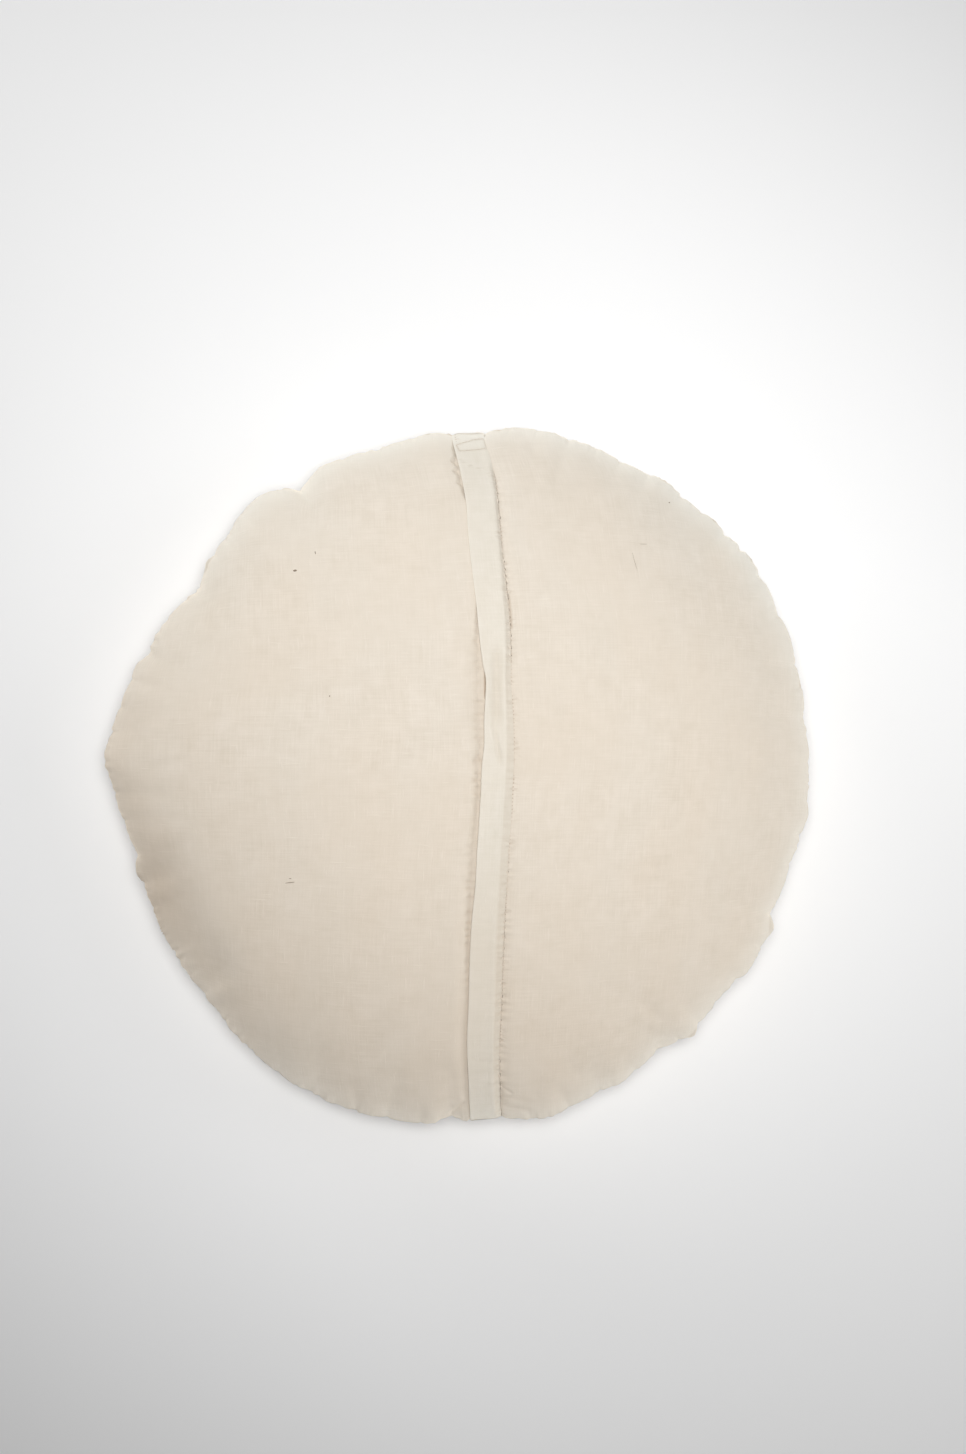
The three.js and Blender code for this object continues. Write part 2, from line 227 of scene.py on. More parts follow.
def stuffed_points(share, degrees, depth):
    """Where the cloth lies before it is blown up: `depth` is positive for the upper round."""
    here, _, _, arch = lobe_of(degrees)
    broad = broad_radius(degrees)
    radius = share * (broad + (rim_radius(degrees) - broad) * share ** PUCKER_FADE)
    puff = (PUFF_BASE + PUFF_PER_SWELL * swell_of(here)) * 4 * (arch - 0.5)
    puff = puff * share ** PUFF_REACH * fullness(share)
    height = SEAM_HEIGHT + seam_wave(degrees) * share ** SEAM_WAVE_FADE
    height = height + depth * fullness(share) + math.copysign(1, depth) * puff
    return polar(radius, degrees, np.maximum(height, BELLY_GAP))


def cut_points(share, degrees, depth):
    """The shape that the threads pull back to: the stuffed one, its rim's band laid flat."""
    along = along_profile(depth)
    loose = np.interp(LOOSE_FROM, PROFILE_STEPS, along)
    arc = np.interp(share, PROFILE_STEPS, along)
    radius = np.where(arc < loose, share * MEAN_RADIUS, LOOSE_FROM * MEAN_RADIUS + arc - loose)
    radius = radius * broad_radius(degrees) / MEAN_RADIUS
    height = SEAM_HEIGHT + depth * fullness(np.minimum(share, LOOSE_FROM))
    return polar(radius, degrees, height)


def set_all(target, settings):
    """Gives an object's settings their values by name."""
    for name, value in settings.items():
        setattr(target, name, value)


def in_scene(name, data):
    """A new object, linked to the scene."""
    made = bpy.data.objects.new(name, data)
    bpy.context.scene.collection.objects.link(made)
    return made


def new_object(name, points, faces):
    mesh = bpy.data.meshes.new(name)
    mesh.from_pydata([tuple(point) for point in points], [], faces)
    mesh.update()
    return in_scene(name, mesh)


def use_only(piece):
    """Selects this piece and nothing else."""
    bpy.ops.object.select_all(action="DESELECT")
    piece.select_set(True)
    bpy.context.view_layer.objects.active = piece


def points_of(mesh, what="co"):
    """A mesh's points, or their normals, as an array."""
    values = np.empty(len(mesh.vertices) * 3, dtype=np.float32)
    mesh.vertices.foreach_get(what, values)
    return values.reshape(-1, 3).astype(float)


def from_middle(points):
    """X, Y and Z of points, taken from the cushion's middle."""
    return (points - np.array(MIDDLE)).T


def move_to(piece, points):
    piece.data.vertices.foreach_set("co", np.asarray(points, dtype=np.float32).ravel())
    piece.data.update()


def corner_points(piece):
    """The point that each corner of the faces lies on."""
    corners = np.empty(len(piece.data.loops), dtype=np.int32)
    piece.data.loops.foreach_get("vertex_index", corners)
    return corners


def set_layer(piece, name, of_corner):
    """Keeps two numbers for each corner of the faces, for the material to read."""
    layer = piece.data.uv_layers.new(name=name)
    layer.data.foreach_set("uv", np.asarray(of_corner, dtype=np.float32).ravel())


def smooth_shading(piece):
    piece.data.polygons.foreach_set("use_smooth", [True] * len(piece.data.polygons))


upper_rings = ring_plan(PANEL_STEP)
under_rings = ring_plan(UNDERSIDE_STEP)


def sewn_cover():
    """Two rounds of cloth that share their seam, stuffed, and the cut they pull back to."""
    upper_faces, count = round_faces(upper_rings, RIM_POINTS)
    under_faces, _ = round_faces(under_rings, count)
    upper_at = round_points(upper_rings, True)
    under_at = round_points(under_rings, False)
    stuffed = np.vstack([
        stuffed_points(*upper_at, CROWN_HEIGHT),
        stuffed_points(*under_at, -BELLY_DEPTH),
    ])
    cut = np.vstack([cut_points(*upper_at, CROWN_HEIGHT), cut_points(*under_at, -BELLY_DEPTH)])
    faces = upper_faces + [tuple(reversed(face)) for face in under_faces]
    cover = new_object("cushion_cover", stuffed + np.array(MIDDLE), faces)
    share, degrees = (np.concatenate(pair) for pair in zip(upper_at, under_at))
    reach = np.interp(share, PROFILE_STEPS, along_profile(CROWN_HEIGHT))
    grain = polar(reach, degrees)[corner_points(cover)]
    upper_corners = sum(len(face) for face in upper_faces)
    bow = closing_at(grain[:upper_corners, 1]).stitch
    grain[:upper_corners, 0] -= bow * (1 - (grain[:upper_corners, 0] / reach.max()) ** 2)
    grain[upper_corners:, 0] += UNDERSIDE_GRAIN_SHIFT
    set_layer(cover, "grain", grain)
    return cover, cut + np.array(MIDDLE)


# Blowing up
FRAMES = 24
CLOTH_SETTINGS = {
    "quality": 6,
    "mass": 0.1,
    "air_damping": 2,
    "tension_stiffness": 40,
    "compression_stiffness": 15,
    "shear_stiffness": 6,
    "bending_stiffness": 0.8,
    "vertex_group_mass": "seam",
    "pin_stiffness": 50,
    "use_pressure": True,
    "uniform_pressure_force": 8,
}
MOST_MOVED = 9 * MM
FLOOR_SKIN = 1.0 * MM
SETTLE_HEIGHT = 20 * MM
SEAM_CREASE = 0.8


def blow_up(cover, cut):
    """Pins the seam, fills the cover with pressure over the floor, and keeps its new shape."""
    start = points_of(cover.data)
    use_only(cover)
    cover.shape_key_add(name="stuffed")
    key = cover.shape_key_add(name="cut")
    key.data.foreach_set("co", cut.astype(np.float32).ravel())
    key.value = 0
    seam = cover.vertex_groups.new(name="seam")
    seam.add(list(range(RIM_POINTS)), 1.0, "REPLACE")
    bpy.ops.mesh.primitive_plane_add(size=1, location=(0, 0, 0))
    ground = bpy.context.object
    ground.modifiers.new("ground", "COLLISION")
    ground.collision.thickness_outer = FLOOR_SKIN
    cloth = cover.modifiers.new("cloth", "CLOTH")
    set_all(cloth.settings, CLOTH_SETTINGS)
    cloth.settings.rest_shape_key = key
    cloth.settings.effector_weights.gravity = 0
    cloth.collision_settings.distance_min = FLOOR_SKIN
    cloth.point_cache.frame_end = FRAMES
    scene = bpy.context.scene
    for step in range(1, FRAMES + 1):
        scene.frame_set(step)
    shown = cover.evaluated_get(bpy.context.evaluated_depsgraph_get())
    blown = points_of(shown.to_mesh())
    cover.modifiers.clear()
    cover.shape_key_clear()
    cover.vertex_groups.clear()
    bpy.data.objects.remove(ground)
    scene.frame_set(1)
    moved = blown - start
    far = np.linalg.norm(moved, axis=1, keepdims=True)
    points = start + moved * np.minimum(1, MOST_MOVED / np.maximum(far, 1e-9))
    move_to(cover, points)


def settle(cover):
    """Lays the underside flat on the floor."""
    points = points_of(cover.data)
    near = 1 - np.clip(points[:, 2] / SETTLE_HEIGHT, 0, 1)
    points[:, 2] -= points[:, 2].min() * near ** 2
    move_to(cover, points)


def finer_cover(cover):
    """One subdivision, with the seam kept as a crisp edge."""
    crease = cover.data.attributes.new("crease_edge", "FLOAT", "EDGE")
    on_seam = [max(edge.vertices) < RIM_POINTS for edge in cover.data.edges]
    crease.data.foreach_set("value", np.where(on_seam, SEAM_CREASE, 0).astype(np.float32))
    use_only(cover)
    finer = cover.modifiers.new("finer", "SUBSURF")
    finer.levels = 1
    finer.render_levels = 1
    bpy.ops.object.modifier_apply(modifier=finer.name)
    cover.data.attributes.remove(cover.data.attributes["crease_edge"])


# The closing across the upper round, in millimetres from the cushion's middle, from its
# tacked end down. `along` is Y; `stitch` and `edge` are the X of the flap's stitched line and
# of its free edge; `shoulder` is the width of the slope up from the stitches; `strip` is how
# much of the left panel's turned edge shows, or lies hidden where negative; `sink` is how deep
# the panel dips towards it, and `gape` how far the free edge stands off.
Closing = namedtuple("Closing", "along stitch edge shoulder strip sink gape")
closing_rows = [Closing(*row) for row in (
    (240, 10.8, -11.4, 1.8, -1.0, 0.4, 0.1), (226, 13.2, -9.2, 1.8, 0.4, 0.6, 0.2),
    (217, 15.8, -7.0, 2.0, 1.8, 0.7, 0.4), (204, 18.9, -4.0, 2.0, 2.4, 0.8, 0.4),
    (192, 20.8, -1.6, 2.0, 1.4, 0.7, 0.2), (180, 21.9, 0.2, 2.0, -0.6, 0.5, 0.1),
    (169, 22.8, 0.8, 2.0, -2.0, 0.4, 0.0), (150, 24.5, 2.4, 2.0, -2.0, 0.4, 0.0),
    (130, 26.7, 4.8, 2.4, -2.0, 0.6, 0.0), (114, 28.2, 6.8, 3.0, 0.3, 0.7, 0.1),
    (98, 29.5, 8.3, 3.4, 1.8, 1.0, 0.3), (81, 30.0, 10.2, 3.8, 3.8, 1.2, 0.9),
    (72, 30.0, 11.6, 4.0, 5.4, 1.2, 1.4), (66, 30.0, 12.9, 4.2, 6.8, 1.2, 1.8),
    (52, 30.8, 12.8, 4.6, 6.6, 1.2, 1.8), (37, 31.7, 12.0, 5.0, 5.8, 1.2, 1.3),
    (20, 32.1, 12.0, 5.4, 5.0, 1.2, 1.0), (8, 32.0, 10.7, 5.8, 4.4, 1.1, 0.8),
    (-11, 31.0, 9.8, 6.0, 3.2, 1.0, 0.7), (-32, 30.0, 8.5, 6.0, 3.8, 1.0, 0.6),
    (-50, 28.6, 7.3, 6.0, 4.6, 1.0, 0.6), (-74, 27.3, 6.0, 6.0, 4.4, 1.0, 0.6),
    (-94, 26.0, 3.9, 5.8, 2.8, 1.0, 0.4), (-118, 25.0, 2.5, 5.6, 2.0, 1.2, 0.3),
    (-150, 24.0, 1.6, 5.2, 1.2, 1.7, 0.1), (-180, 22.8, 0.5, 4.6, 0.6, 1.9, 0.0),
    (-205, 22.7, 1.4, 4.2, 0.4, 1.8, 0.0), (-240, 23.9, 2.7, 3.6, 0.4, 0.8, 0.0),
)]
STRIP_WAVE = 9.3 * MM
STRIP_WAVER = 0.75 * MM
STRIP_EASE = 3 * MM
SEWN_TO = 213 * MM
SEWN_FADE = 11 * MM


def smooth_through(at, knots, values):
    """A smooth curve through the knots' values, read at `at`."""
    slopes = np.gradient(values, knots)
    at = np.clip(at, knots[0], knots[-1])
    row = np.clip(np.searchsorted(knots, at, side="right") - 1, 0, len(knots) - 2)
    span = knots[row + 1] - knots[row]
    share = (at - knots[row]) / span
    square, cube = share ** 2, share ** 3
    return (
        (2 * cube - 3 * square + 1) * values[row]
        + (cube - 2 * square + share) * span * slopes[row]
        + (3 * square - 2 * cube) * values[row + 1]
        + (cube - square) * span * slopes[row + 1]
    )


def ease(value):
    """A smooth step from 0 to 1."""
    value = np.clip(value, 0, 1)
    return value * value * (3 - 2 * value)


def bell(value):
    """1 at 0, falling away smoothly to both sides."""
    return np.exp(-(value ** 2))


def gather_wave(along, pitch, start):
    """Uneven small gathers along a sewn line, from -1 to 1."""
    phase = along / pitch
    drift = 0.3 * np.sin(phase * 1.37 + start) + 0.22 * np.sin(phase * 0.61 + 2.1 * start)
    swing = 0.65 + 0.35 * np.sin(phase * 0.83 + 1.3 * start)
    return swing * np.sin(2 * math.pi * (phase + drift) + start)


def closing_at(along):
    """The closing's sizes in metres at a height `along`, also in metres from the middle."""
    rows = closing_rows[::-1]
    knots = column_of(rows, "along")
    found = {"along": along}
    for name in Closing._fields[1:]:
        found[name] = smooth_through(np.asarray(along) / MM, knots, column_of(rows, name)) * MM
    waver = STRIP_WAVER * gather_wave(np.asarray(along), STRIP_WAVE, 1.2)
    found["strip"] = found["strip"] + waver * ease(found["strip"] / STRIP_EASE)
    return Closing(**found)


def sewn_share(along):
    """1 where the flap is topstitched, fading to 0 above the stitches' upper end."""
    return ease((SEWN_TO - along) / SEWN_FADE)


# How hard the stitches pull at heights along the closing: slack below the slit
PULL_AT = (-115, -60, -25, 15, 55, 68, 82)
PULLS = (1, 0.75, 0.35, 0.25, 0.3, 0.6, 1)


def stitch_pull(along):
    return np.interp(along / MM, PULL_AT, PULLS) * sewn_share(along)


# The bed in the cover, under and beside the flap
BED_DEPTH = 2.6 * MM
BED_RISE = 5 * MM
PANEL_SLOPE = 13 * MM
FOLD_SHARE = 0.4
FOLD_WIDTH = 2.0 * MM
EDGE_OVERLAP = 1.5 * MM
STITCH_SINK = 1.1 * MM
STITCH_PULL = 9 * MM
CREASE_DEPTH = 0.08 * MM
CREASE_WIDTH = 1.1 * MM
EDGE_GATHER = 7.4 * MM
EDGE_GATHER_DEPTH = 0.9 * MM
STITCH_GATHER = 6.3 * MM
STITCH_GATHER_DEPTH = 0.5 * MM
STITCH_GATHER_REACH = 4.5 * MM
BED_REACH = 20 * MM
BED_EDGE_AT_SEAM = 0.45
SEAM_FADE = 20 * MM
EDGE_EASE = 2 * MM


def sharp_gathers(along, pitch, start):
    """Rounded puffs with narrow creases between them: 0 on the puffs and 1 in the creases."""
    phase = along / pitch
    drift = 0.45 * np.sin(phase * 1.37 + start) + 0.4 * np.sin(phase * 0.61 + 2.1 * start)
    swing = 0.6 + 0.4 * np.sin(phase * 0.47 + 1.7 * start)
    return swing * (1 - np.abs(np.sin(math.pi * (phase + drift))) ** 0.6)


def stitch_gathers(away, along):
    """How deep the small gathers pull the cloth beside the stitches."""
    pulled = np.exp(-away / STITCH_GATHER_REACH)
    return gather_wave(along, STITCH_GATHER, 2.2) * STITCH_GATHER_DEPTH * pulled


def bed_depth(x, y):
    """How deep the cover lies under its own crown near the closing, at x, y from the middle."""
    closing = closing_at(y)
    left = closing.edge - x
    right = x - closing.stitch
    past_fold = left - closing.strip
    slope = closing.sink * (1 - ease(past_fold / PANEL_SLOPE)) ** 2
    drop = BED_DEPTH - closing.sink
    fold = FOLD_SHARE * (1 - ease((past_fold + FOLD_WIDTH) / FOLD_WIDTH))
    sloping = np.maximum(closing.strip, 0) + EDGE_OVERLAP
    down = (1 - FOLD_SHARE) * (1 - ease((np.minimum(past_fold, left) + EDGE_OVERLAP) / sloping))
    on_strip = ease((left + EDGE_EASE) / EDGE_EASE) * (1 - ease(past_fold / STRIP_EASE))
    gathers = sharp_gathers(y, EDGE_GATHER, 0.6) * EDGE_GATHER_DEPTH * on_strip
    left_side = slope + drop * (fold + down) + gathers * ease(closing.strip / STRIP_EASE)
    pull = stitch_pull(y)
    sunk = STITCH_SINK * pull
    rising = sunk + (BED_DEPTH - sunk) * ease(-right / BED_RISE)
    right_side = sunk * (1 - ease(right / STITCH_PULL)) ** 1.5
    right_side = right_side + stitch_gathers(np.maximum(right, 0), y) * ease(pull)
    right_side = right_side + CREASE_DEPTH * pull * bell(right / CREASE_WIDTH)
    return np.where(right > 0, right_side, np.minimum(left_side, rising))


# Creases and dents, from one end to the other in millimetres from the middle: `deep` is how
# far they sink, or rise where negative, `wide` how far they reach to each side, and `shade`
# how much painted shade darkens the cloth along them, or a painted highlight lightens it where
# negative.
Crease = namedtuple("Crease", "x y to_x to_y deep wide shade")
cover_creases = [Crease(*row) for row in (
    (-212, -57, -195, -100, 3.0, 16.0, 0), (-195, -100, -168, -141, 3.0, 16.0, 0),
    (12.7, 69, 12.8, 51.5, 1.2, 0.5, 0.42), (5.6, 72.1, 11.6, 71.9, 0.55, 0.8, 0.05),
    (4.6, 62.0, 12.4, 62.6, 0.25, 1.0, 0.02), (4.8, 49.8, 12.0, 49.4, 0.6, 0.8, 0.05),
    (5.0, 40.8, 12.2, 41.0, 0.5, 0.8, 0.05), (8.2, 24.2, 10.6, 18.0, 0.5, 0.8, 0.05),
    (8.0, 14.4, 9.8, 9.8, 0.5, 0.8, 0.05), (28.4, 121, 30.4, 98, 0.2, 0.6, 0.25),
    (31.6, 112, 31.9, 97, 0, 0.6, -0.06), (23.2, -207, 23.6, -233, 0.5, 1.5, 0.04),
    (23.8, -211, 31.0, -215.6, 0.55, 1.1, 0.03), (25.0, -217.8, 44.7, -221.9, 0.5, 1.7, 0.02),
    (25.0, -224.6, 43.3, -228.7, 0.45, 1.7, 0.02),
    (-1.6, -222.6, -11.3, -231.0, 0.9, 1.5, 0.04), (-2.6, -218.0, -9.0, -225.0, -0.4, 2.2, 0),
)]
flap_creases = [Crease(*row) for row in (
    (20.6, 84, 20.2, 34, 1.9, 3.0, 0.06), (18.6, 33, 22.6, 9, 1.2, 1.5, 0.04),
    (15.6, 33, 18.6, 20, -0.4, 1.3, -0.02), (25.4, 104, 26.4, -20, -0.35, 0.9, -0.02),
    (10.5, -3.2, 27.0, -4.6, -0.55, 1.0, -0.02), (8.0, 112, 16.0, 96, 0.22, 1.6, 0.01),
    (14.0, 128, 25.0, 124, 0.2, 1.2, 0.01), (4.0, 178, 19.0, 181, 0.18, 1.4, 0.01),
    (8.5, -44, 22.0, -40, 0.2, 1.5, 0.01), (6.0, -96, 20.0, -99, 0.18, 1.2, 0.01),
    (3.0, -143, 18.0, -139, 0.2, 1.6, 0.01), (2.0, -190, 19.0, -194, 0.18, 1.4, 0.01),
    (5.0, -214, 21.0, -209, 0.25, 1.4, 0.01),
)]

# The tack at the flap's upper end: corners in millimetres from the middle, in sewing order.
tack_corners = [
    (-4.5, 219.7), (13.4, 221.5), (11.7, 228.4), (5.0, 227.9), (-7.1, 224.1), (-4.5, 219.7),
]
# Each line of the tack sinks the flap a little, with painted shade along it
flap_creases += [
    Crease(*corner, *following, 0.2, 0.8, 0.09)
    for corner, following in zip(tack_corners, tack_corners[1:])
]


CREASE_FADE = 0.2


def crease_share(crease, x, y):
    """1 along a crease, fading to its sides and past its ends."""
    start = np.array([crease.x, crease.y]) * MM
    run = np.array([crease.to_x, crease.to_y]) * MM - start
    share = ((x - start[0]) * run[0] + (y - start[1]) * run[1]) / run.dot(run)
    started = ease((share + CREASE_FADE) / (2 * CREASE_FADE))
    ended = ease((1 + CREASE_FADE - share) / (2 * CREASE_FADE))
    share = np.clip(share, 0, 1)
    off = np.hypot(x - start[0] - share * run[0], y - start[1] - share * run[1])
    return bell(off / (crease.wide * MM)) * (started * ended)


def crease_depth(x, y, creases):
    return sum(crease.deep * MM * crease_share(crease, x, y) for crease in creases)


def crease_shade(x, y, creases):
    return sum(crease.shade * crease_share(crease, x, y) for crease in creases)


# Painted shade and light in the cloth's colour: painted shade on the turned edge, which darkens
# downwards, beside the stitches, on the flap's shoulder and along the flap by height; a painted
# highlight at the fold and painted light at the rim.
STRIP_SHADE_AT = (-205, -165, -120, -60, 0, 60, 110, 190)
STRIP_SHADES = (0, 0.018, 0.09, 0.09, 0.08, 0.075, 0.035, 0.038)
STRIP_SHADE_PATCHES = 0.5
STRIP_SHOWN = 2 * MM
STRIP_BLUR = 2.5 * MM
STITCH_SHADE = 0.025
STITCH_SHADE_REACH = 4 * MM
SHOULDER_SHADE = 0.09
SHOULDER_SHARE = 0.75
SHOULDER_BLUR = 1.8 * MM
SHOULDER_WAVE = 5.1 * MM
SHOULDER_UNEVEN = 0.4
FLAP_SHADE_AT = (-235, -205, -165, -130, -100, -55, 0, 100, 160, 198, 225)
FLAP_SHADES = (-0.035, -0.035, 0, 0.015, 0.028, 0.008, 0, 0, 0.018, 0.025, 0.01)
FOLD_LIGHT = 0.05
FOLD_LIGHT_WIDTH = 1.0 * MM
PAINTED_RIM_LIGHT = 0.1
PAINTED_RIM_LIGHT_REACH = 7 * MM
PAINTED_RIM_TONE_REACH = 27 * MM
PAINTED_RIM_PALENESS_REACH = 11 * MM

# Painted light at the rim: the cloth is painted lighter and paler there, most of all on the upper
# right, and painted shade makes it duller on the lower left. At each angle in degrees: how much
# painted glow lies close to the seam, how much lighter a broader band is painted, darker where
# negative, and how pale it is painted.
PaintedRimTone = namedtuple("PaintedRimTone", "at glow tone pale")
painted_rim_tones = [PaintedRimTone(*row) for row in (
    (0, 1, 0.015, 0.22), (20, 0.9, 0.03, 0.27), (40, 1.2, 0.035, 0.52), (60, 1.2, 0.015, 0.45),
    (80, 1, 0.015, 0.42), (100, 0.9, -0.005, 0.48), (122, 0.6, -0.015, 0.52),
    (145, 0.3, -0.01, 0.32), (165, 0.2, -0.015, 0.06), (182, 0.2, -0.08, 0),
    (202, 0.4, -0.2, 0), (220, 1.2, -0.01, 0), (242, 1.5, 0.12, 0), (262, 1.5, 0.1, 0.02),
    (282, 1.2, 0.05, 0.1), (302, 1.2, 0.02, 0.28), (322, 0.9, 0.025, 0.28), (342, 1.3, 0, 0.3),
    (360, 1, 0.015, 0.22),
)]


def painted_rim_tone_at(degrees, name):
    return np.interp(degrees, column_of(painted_rim_tones, "at"), column_of(painted_rim_tones, name))


def rim_place(x, y):
    """The angle in degrees of places on the cushion, and how far inside the rim they lie."""
    degrees = np.mod(np.degrees(np.arctan2(y, x)), 360)
    return degrees, np.maximum(rim_radius(degrees) - np.hypot(x, y), 0)


def painted_rim_light(x, y):
    """Painted light on the cloth towards the rim, and painted shade where negative."""
    degrees, inside = rim_place(x, y)
    glow = PAINTED_RIM_LIGHT * painted_rim_tone_at(degrees, "glow") * np.exp(-((inside / PAINTED_RIM_LIGHT_REACH) ** 1.5))
    return glow + painted_rim_tone_at(degrees, "tone") * bell(inside / PAINTED_RIM_TONE_REACH)


def painted_rim_paleness(x, y):
    """How far the colour is painted pale towards the rim, as painted glow."""
    degrees, inside = rim_place(x, y)
    return painted_rim_tone_at(degrees, "pale") * np.exp(-((inside / PAINTED_RIM_PALENESS_REACH) ** 1.2))


def painted_shade_and_light_of_cover(x, y, z):
    """The painted shade and light on the cover's cloth, as a share of its plain colour."""
    closing = closing_at(y)
    left = closing.edge - x
    right = x - closing.stitch
    shown = ease(closing.strip / STRIP_SHOWN)
    strip = shown * (1 - ease((left - closing.strip) / STRIP_BLUR)) * (right < 0)
    strip = strip * np.interp(y / MM, STRIP_SHADE_AT, STRIP_SHADES)
    strip = strip * (1 + STRIP_SHADE_PATCHES * (3 * sharp_gathers(y, EDGE_GATHER, 0.6) - 1))
    beside = STITCH_SHADE * stitch_pull(y) * bell(right / STITCH_SHADE_REACH)
    creased = crease_shade(x, y, cover_creases)
    return 1 - strip - beside - creased - painted_tuft_shade(x, y, z) + painted_rim_light(x, y)


def painted_shade_and_light_of_flap(closing, across, along):
    """The painted shade and light on the flap's cloth; `across` runs left from the stitches."""
    x = closing.stitch - across
    low = 1 - ease((across - SHOULDER_SHARE * closing.shoulder) / SHOULDER_BLUR)
    uneven = 1 + SHOULDER_UNEVEN * gather_wave(along, SHOULDER_WAVE, 0.8)
    low = low * uneven * sewn_share(along)
    fold = bell((x - closing.edge) / FOLD_LIGHT_WIDTH)
    shade = np.interp(along / MM, FLAP_SHADE_AT, FLAP_SHADES) + SHOULDER_SHADE * low
    shade = shade + crease_shade(x, along, flap_creases)
    return 1 - shade + FOLD_LIGHT * fold + painted_rim_light(x, along)


def set_painted_shade_and_light(piece, painted_shade_and_light):
    """Keeps the painted shade and light, and the painted paleness, as layers for the material."""
    x, y, _ = from_middle(points_of(piece.data))
    for name, values in (("painted_shade_and_light", painted_shade_and_light), ("pale", painted_rim_paleness(x, y))):
        layer = piece.data.attributes.new(name, "FLOAT", "POINT")
        layer.data.foreach_set("value", np.asarray(values, dtype=np.float32))


def halve_faces(cover, wanted):
    """Halves the faces whose middles, taken from the cushion's, are wanted."""
    mesh = bmesh.new()
    mesh.from_mesh(cover.data)
    mesh.faces.ensure_lookup_table()
    middles = np.array([face.calc_center_median() - MIDDLE for face in mesh.faces])
    chosen = {mesh.faces[index] for index in np.flatnonzero(wanted(*middles.T))}
    edges = [edge for edge in mesh.edges if not chosen.isdisjoint(edge.link_faces)]
    bmesh.ops.subdivide_edges(mesh, edges=edges, cuts=1, use_grid_fill=True)
    mesh.to_mesh(cover.data)
    mesh.free()
    cover.data.update()


# Where the cover's faces are halved for the bed, its lines and the rim
CLEAR_OF_SEAM = 2 * MM
OUTSIDE_LINE = 4 * MM
INSIDE_EDGE = 1.5 * MM
INSIDE_STITCH = 2 * MM
RIM_BAND = 8 * MM


def in_bed(x, y, z):
    closing = closing_at(y)
    across = (x > closing.edge - BED_REACH) & (x < closing.stitch + BED_REACH / 2)
    return across & (z > SEAM_HEIGHT + CLEAR_OF_SEAM)


def on_bed_lines(x, y, z):
    closing = closing_at(y)
    past_fold = closing.edge - closing.strip - x
    past_stitch = x - closing.stitch
    at_edge = (past_fold < OUTSIDE_LINE) & (x < closing.edge + INSIDE_EDGE)
    at_stitches = (past_stitch > -INSIDE_STITCH) & (past_stitch < OUTSIDE_LINE)
    return (at_edge | at_stitches) & (z > SEAM_HEIGHT + CLEAR_OF_SEAM)


def on_rim(x, y, z):
    _, inside = rim_place(x, y)
    return inside < RIM_BAND


def press_bed(cover):
    """Sinks the bed and the creases into the upper round, along the cloth's own normals."""
    points = points_of(cover.data)
    normals = points_of(cover.data, "normal")
    x, y, z = from_middle(points)
    closing = closing_at(y)
    near = (x > closing.edge - 2 * BED_REACH) & (x < closing.stitch + BED_REACH)
    upper = (z > SEAM_HEIGHT - CLEAR_OF_SEAM) & (normals[:, 2] > 0)
    seam_fade = BED_EDGE_AT_SEAM + (1 - BED_EDGE_AT_SEAM) * ease((z - SEAM_HEIGHT) / SEAM_FADE)
    depth = bed_depth(x, y) * near * seam_fade + crease_depth(x, y, cover_creases)
    points -= normals * (depth * upper)[:, None]
    move_to(cover, points)


# Small crinkles of the rim seam, and tufts of the underside that show past it
CRINKLE = 9.5 * MM
FINE_CRINKLE = 5.3 * MM
CRINKLE_SPELL = 67 * MM
CRINKLE_OUT = 0.6 * MM
CRINKLE_LIFT = 0.7 * MM
CRINKLE_REACH = 6 * MM
SEAM_OUT = 0.85 * MM
TUFT_DROP = 3.5 * MM
TRIM_REACH = 14 * MM
TUFT_REACH = 14 * MM
TUFT_LINE = 1.5 * MM
# Each tuft's angle and half width in degrees, how far it stands out in millimetres, and its
# painted shade
Tuft = namedtuple("Tuft", "at wide out shade")
tufts = [Tuft(*row) for row in (
    (15, 0.45, 0.8, 0.45), (37, 0.55, 1.8, 0.55), (45.6, 0.65, 1.8, 0.6), (53.6, 0.4, 0.8, 0.2),
    (56, 0.55, 1.8, 0.5), (84.7, 0.55, 1.6, 0.45), (92.9, 0.5, 1.4, 0.5), (96.4, 0.4, 1.0, 0.4),
    (103.5, 0.8, 0.8, 0.15), (113.5, 1.6, 0.8, 0.15), (122.1, 0.6, 0.8, 0.25),
    (141, 2.0, 3.2, 0.2), (147.5, 1.0, 2.0, 0.15), (311.2, 1.3, 3.2, 0.25),
    (333.6, 1.6, 4.8, 0.2),
)]

# The seam dips inwards at each pucker, steeply on one side
NICK = 0.9 * MM
NICK_PER_SWELL = 0.25 * MM
NICK_STEEP = 0.22
NICK_SLOW = 1.1

# Where the finished rim lies further out than the seam was drawn, or further in: the middle
# of each place in degrees, its half width, and how far, in millimetres.
RimTrim = namedtuple("RimTrim", "at wide out")
rim_trims = [RimTrim(*row) for row in (
    (3, 1.5, 1.2), (14, 3.5, 1.0), (24, 4, 2.0), (32, 3, 1.8), (37.5, 3, 2.0), (57, 1.2, 1.0),
    (66, 6, -0.6), (102, 3, -1.4), (107.5, 3, -2.2), (115.5, 1.6, 1.6), (121.5, 2, -1.8),
    (127, 2.5, 1.4), (135.3, 1.5, -2.0), (144, 2.5, -1.4), (149.5, 2.5, -1.6),
    (180.5, 1.6, -1.6), (195.5, 2, 1.2), (223.5, 1.5, -1.6), (244, 8, 0.6), (264, 1.8, 1.8),
    (270.2, 1.6, 1.6), (283.5, 3, 2.0), (296.5, 1.5, 1.4), (324.5, 2, 1.6), (353.5, 2, 1.0),
)]


def nearness(row, degrees):
    """1 at the angle of a tuft or a trimmed place, fading over its width."""
    return bell((degrees - row.at) / row.wide)


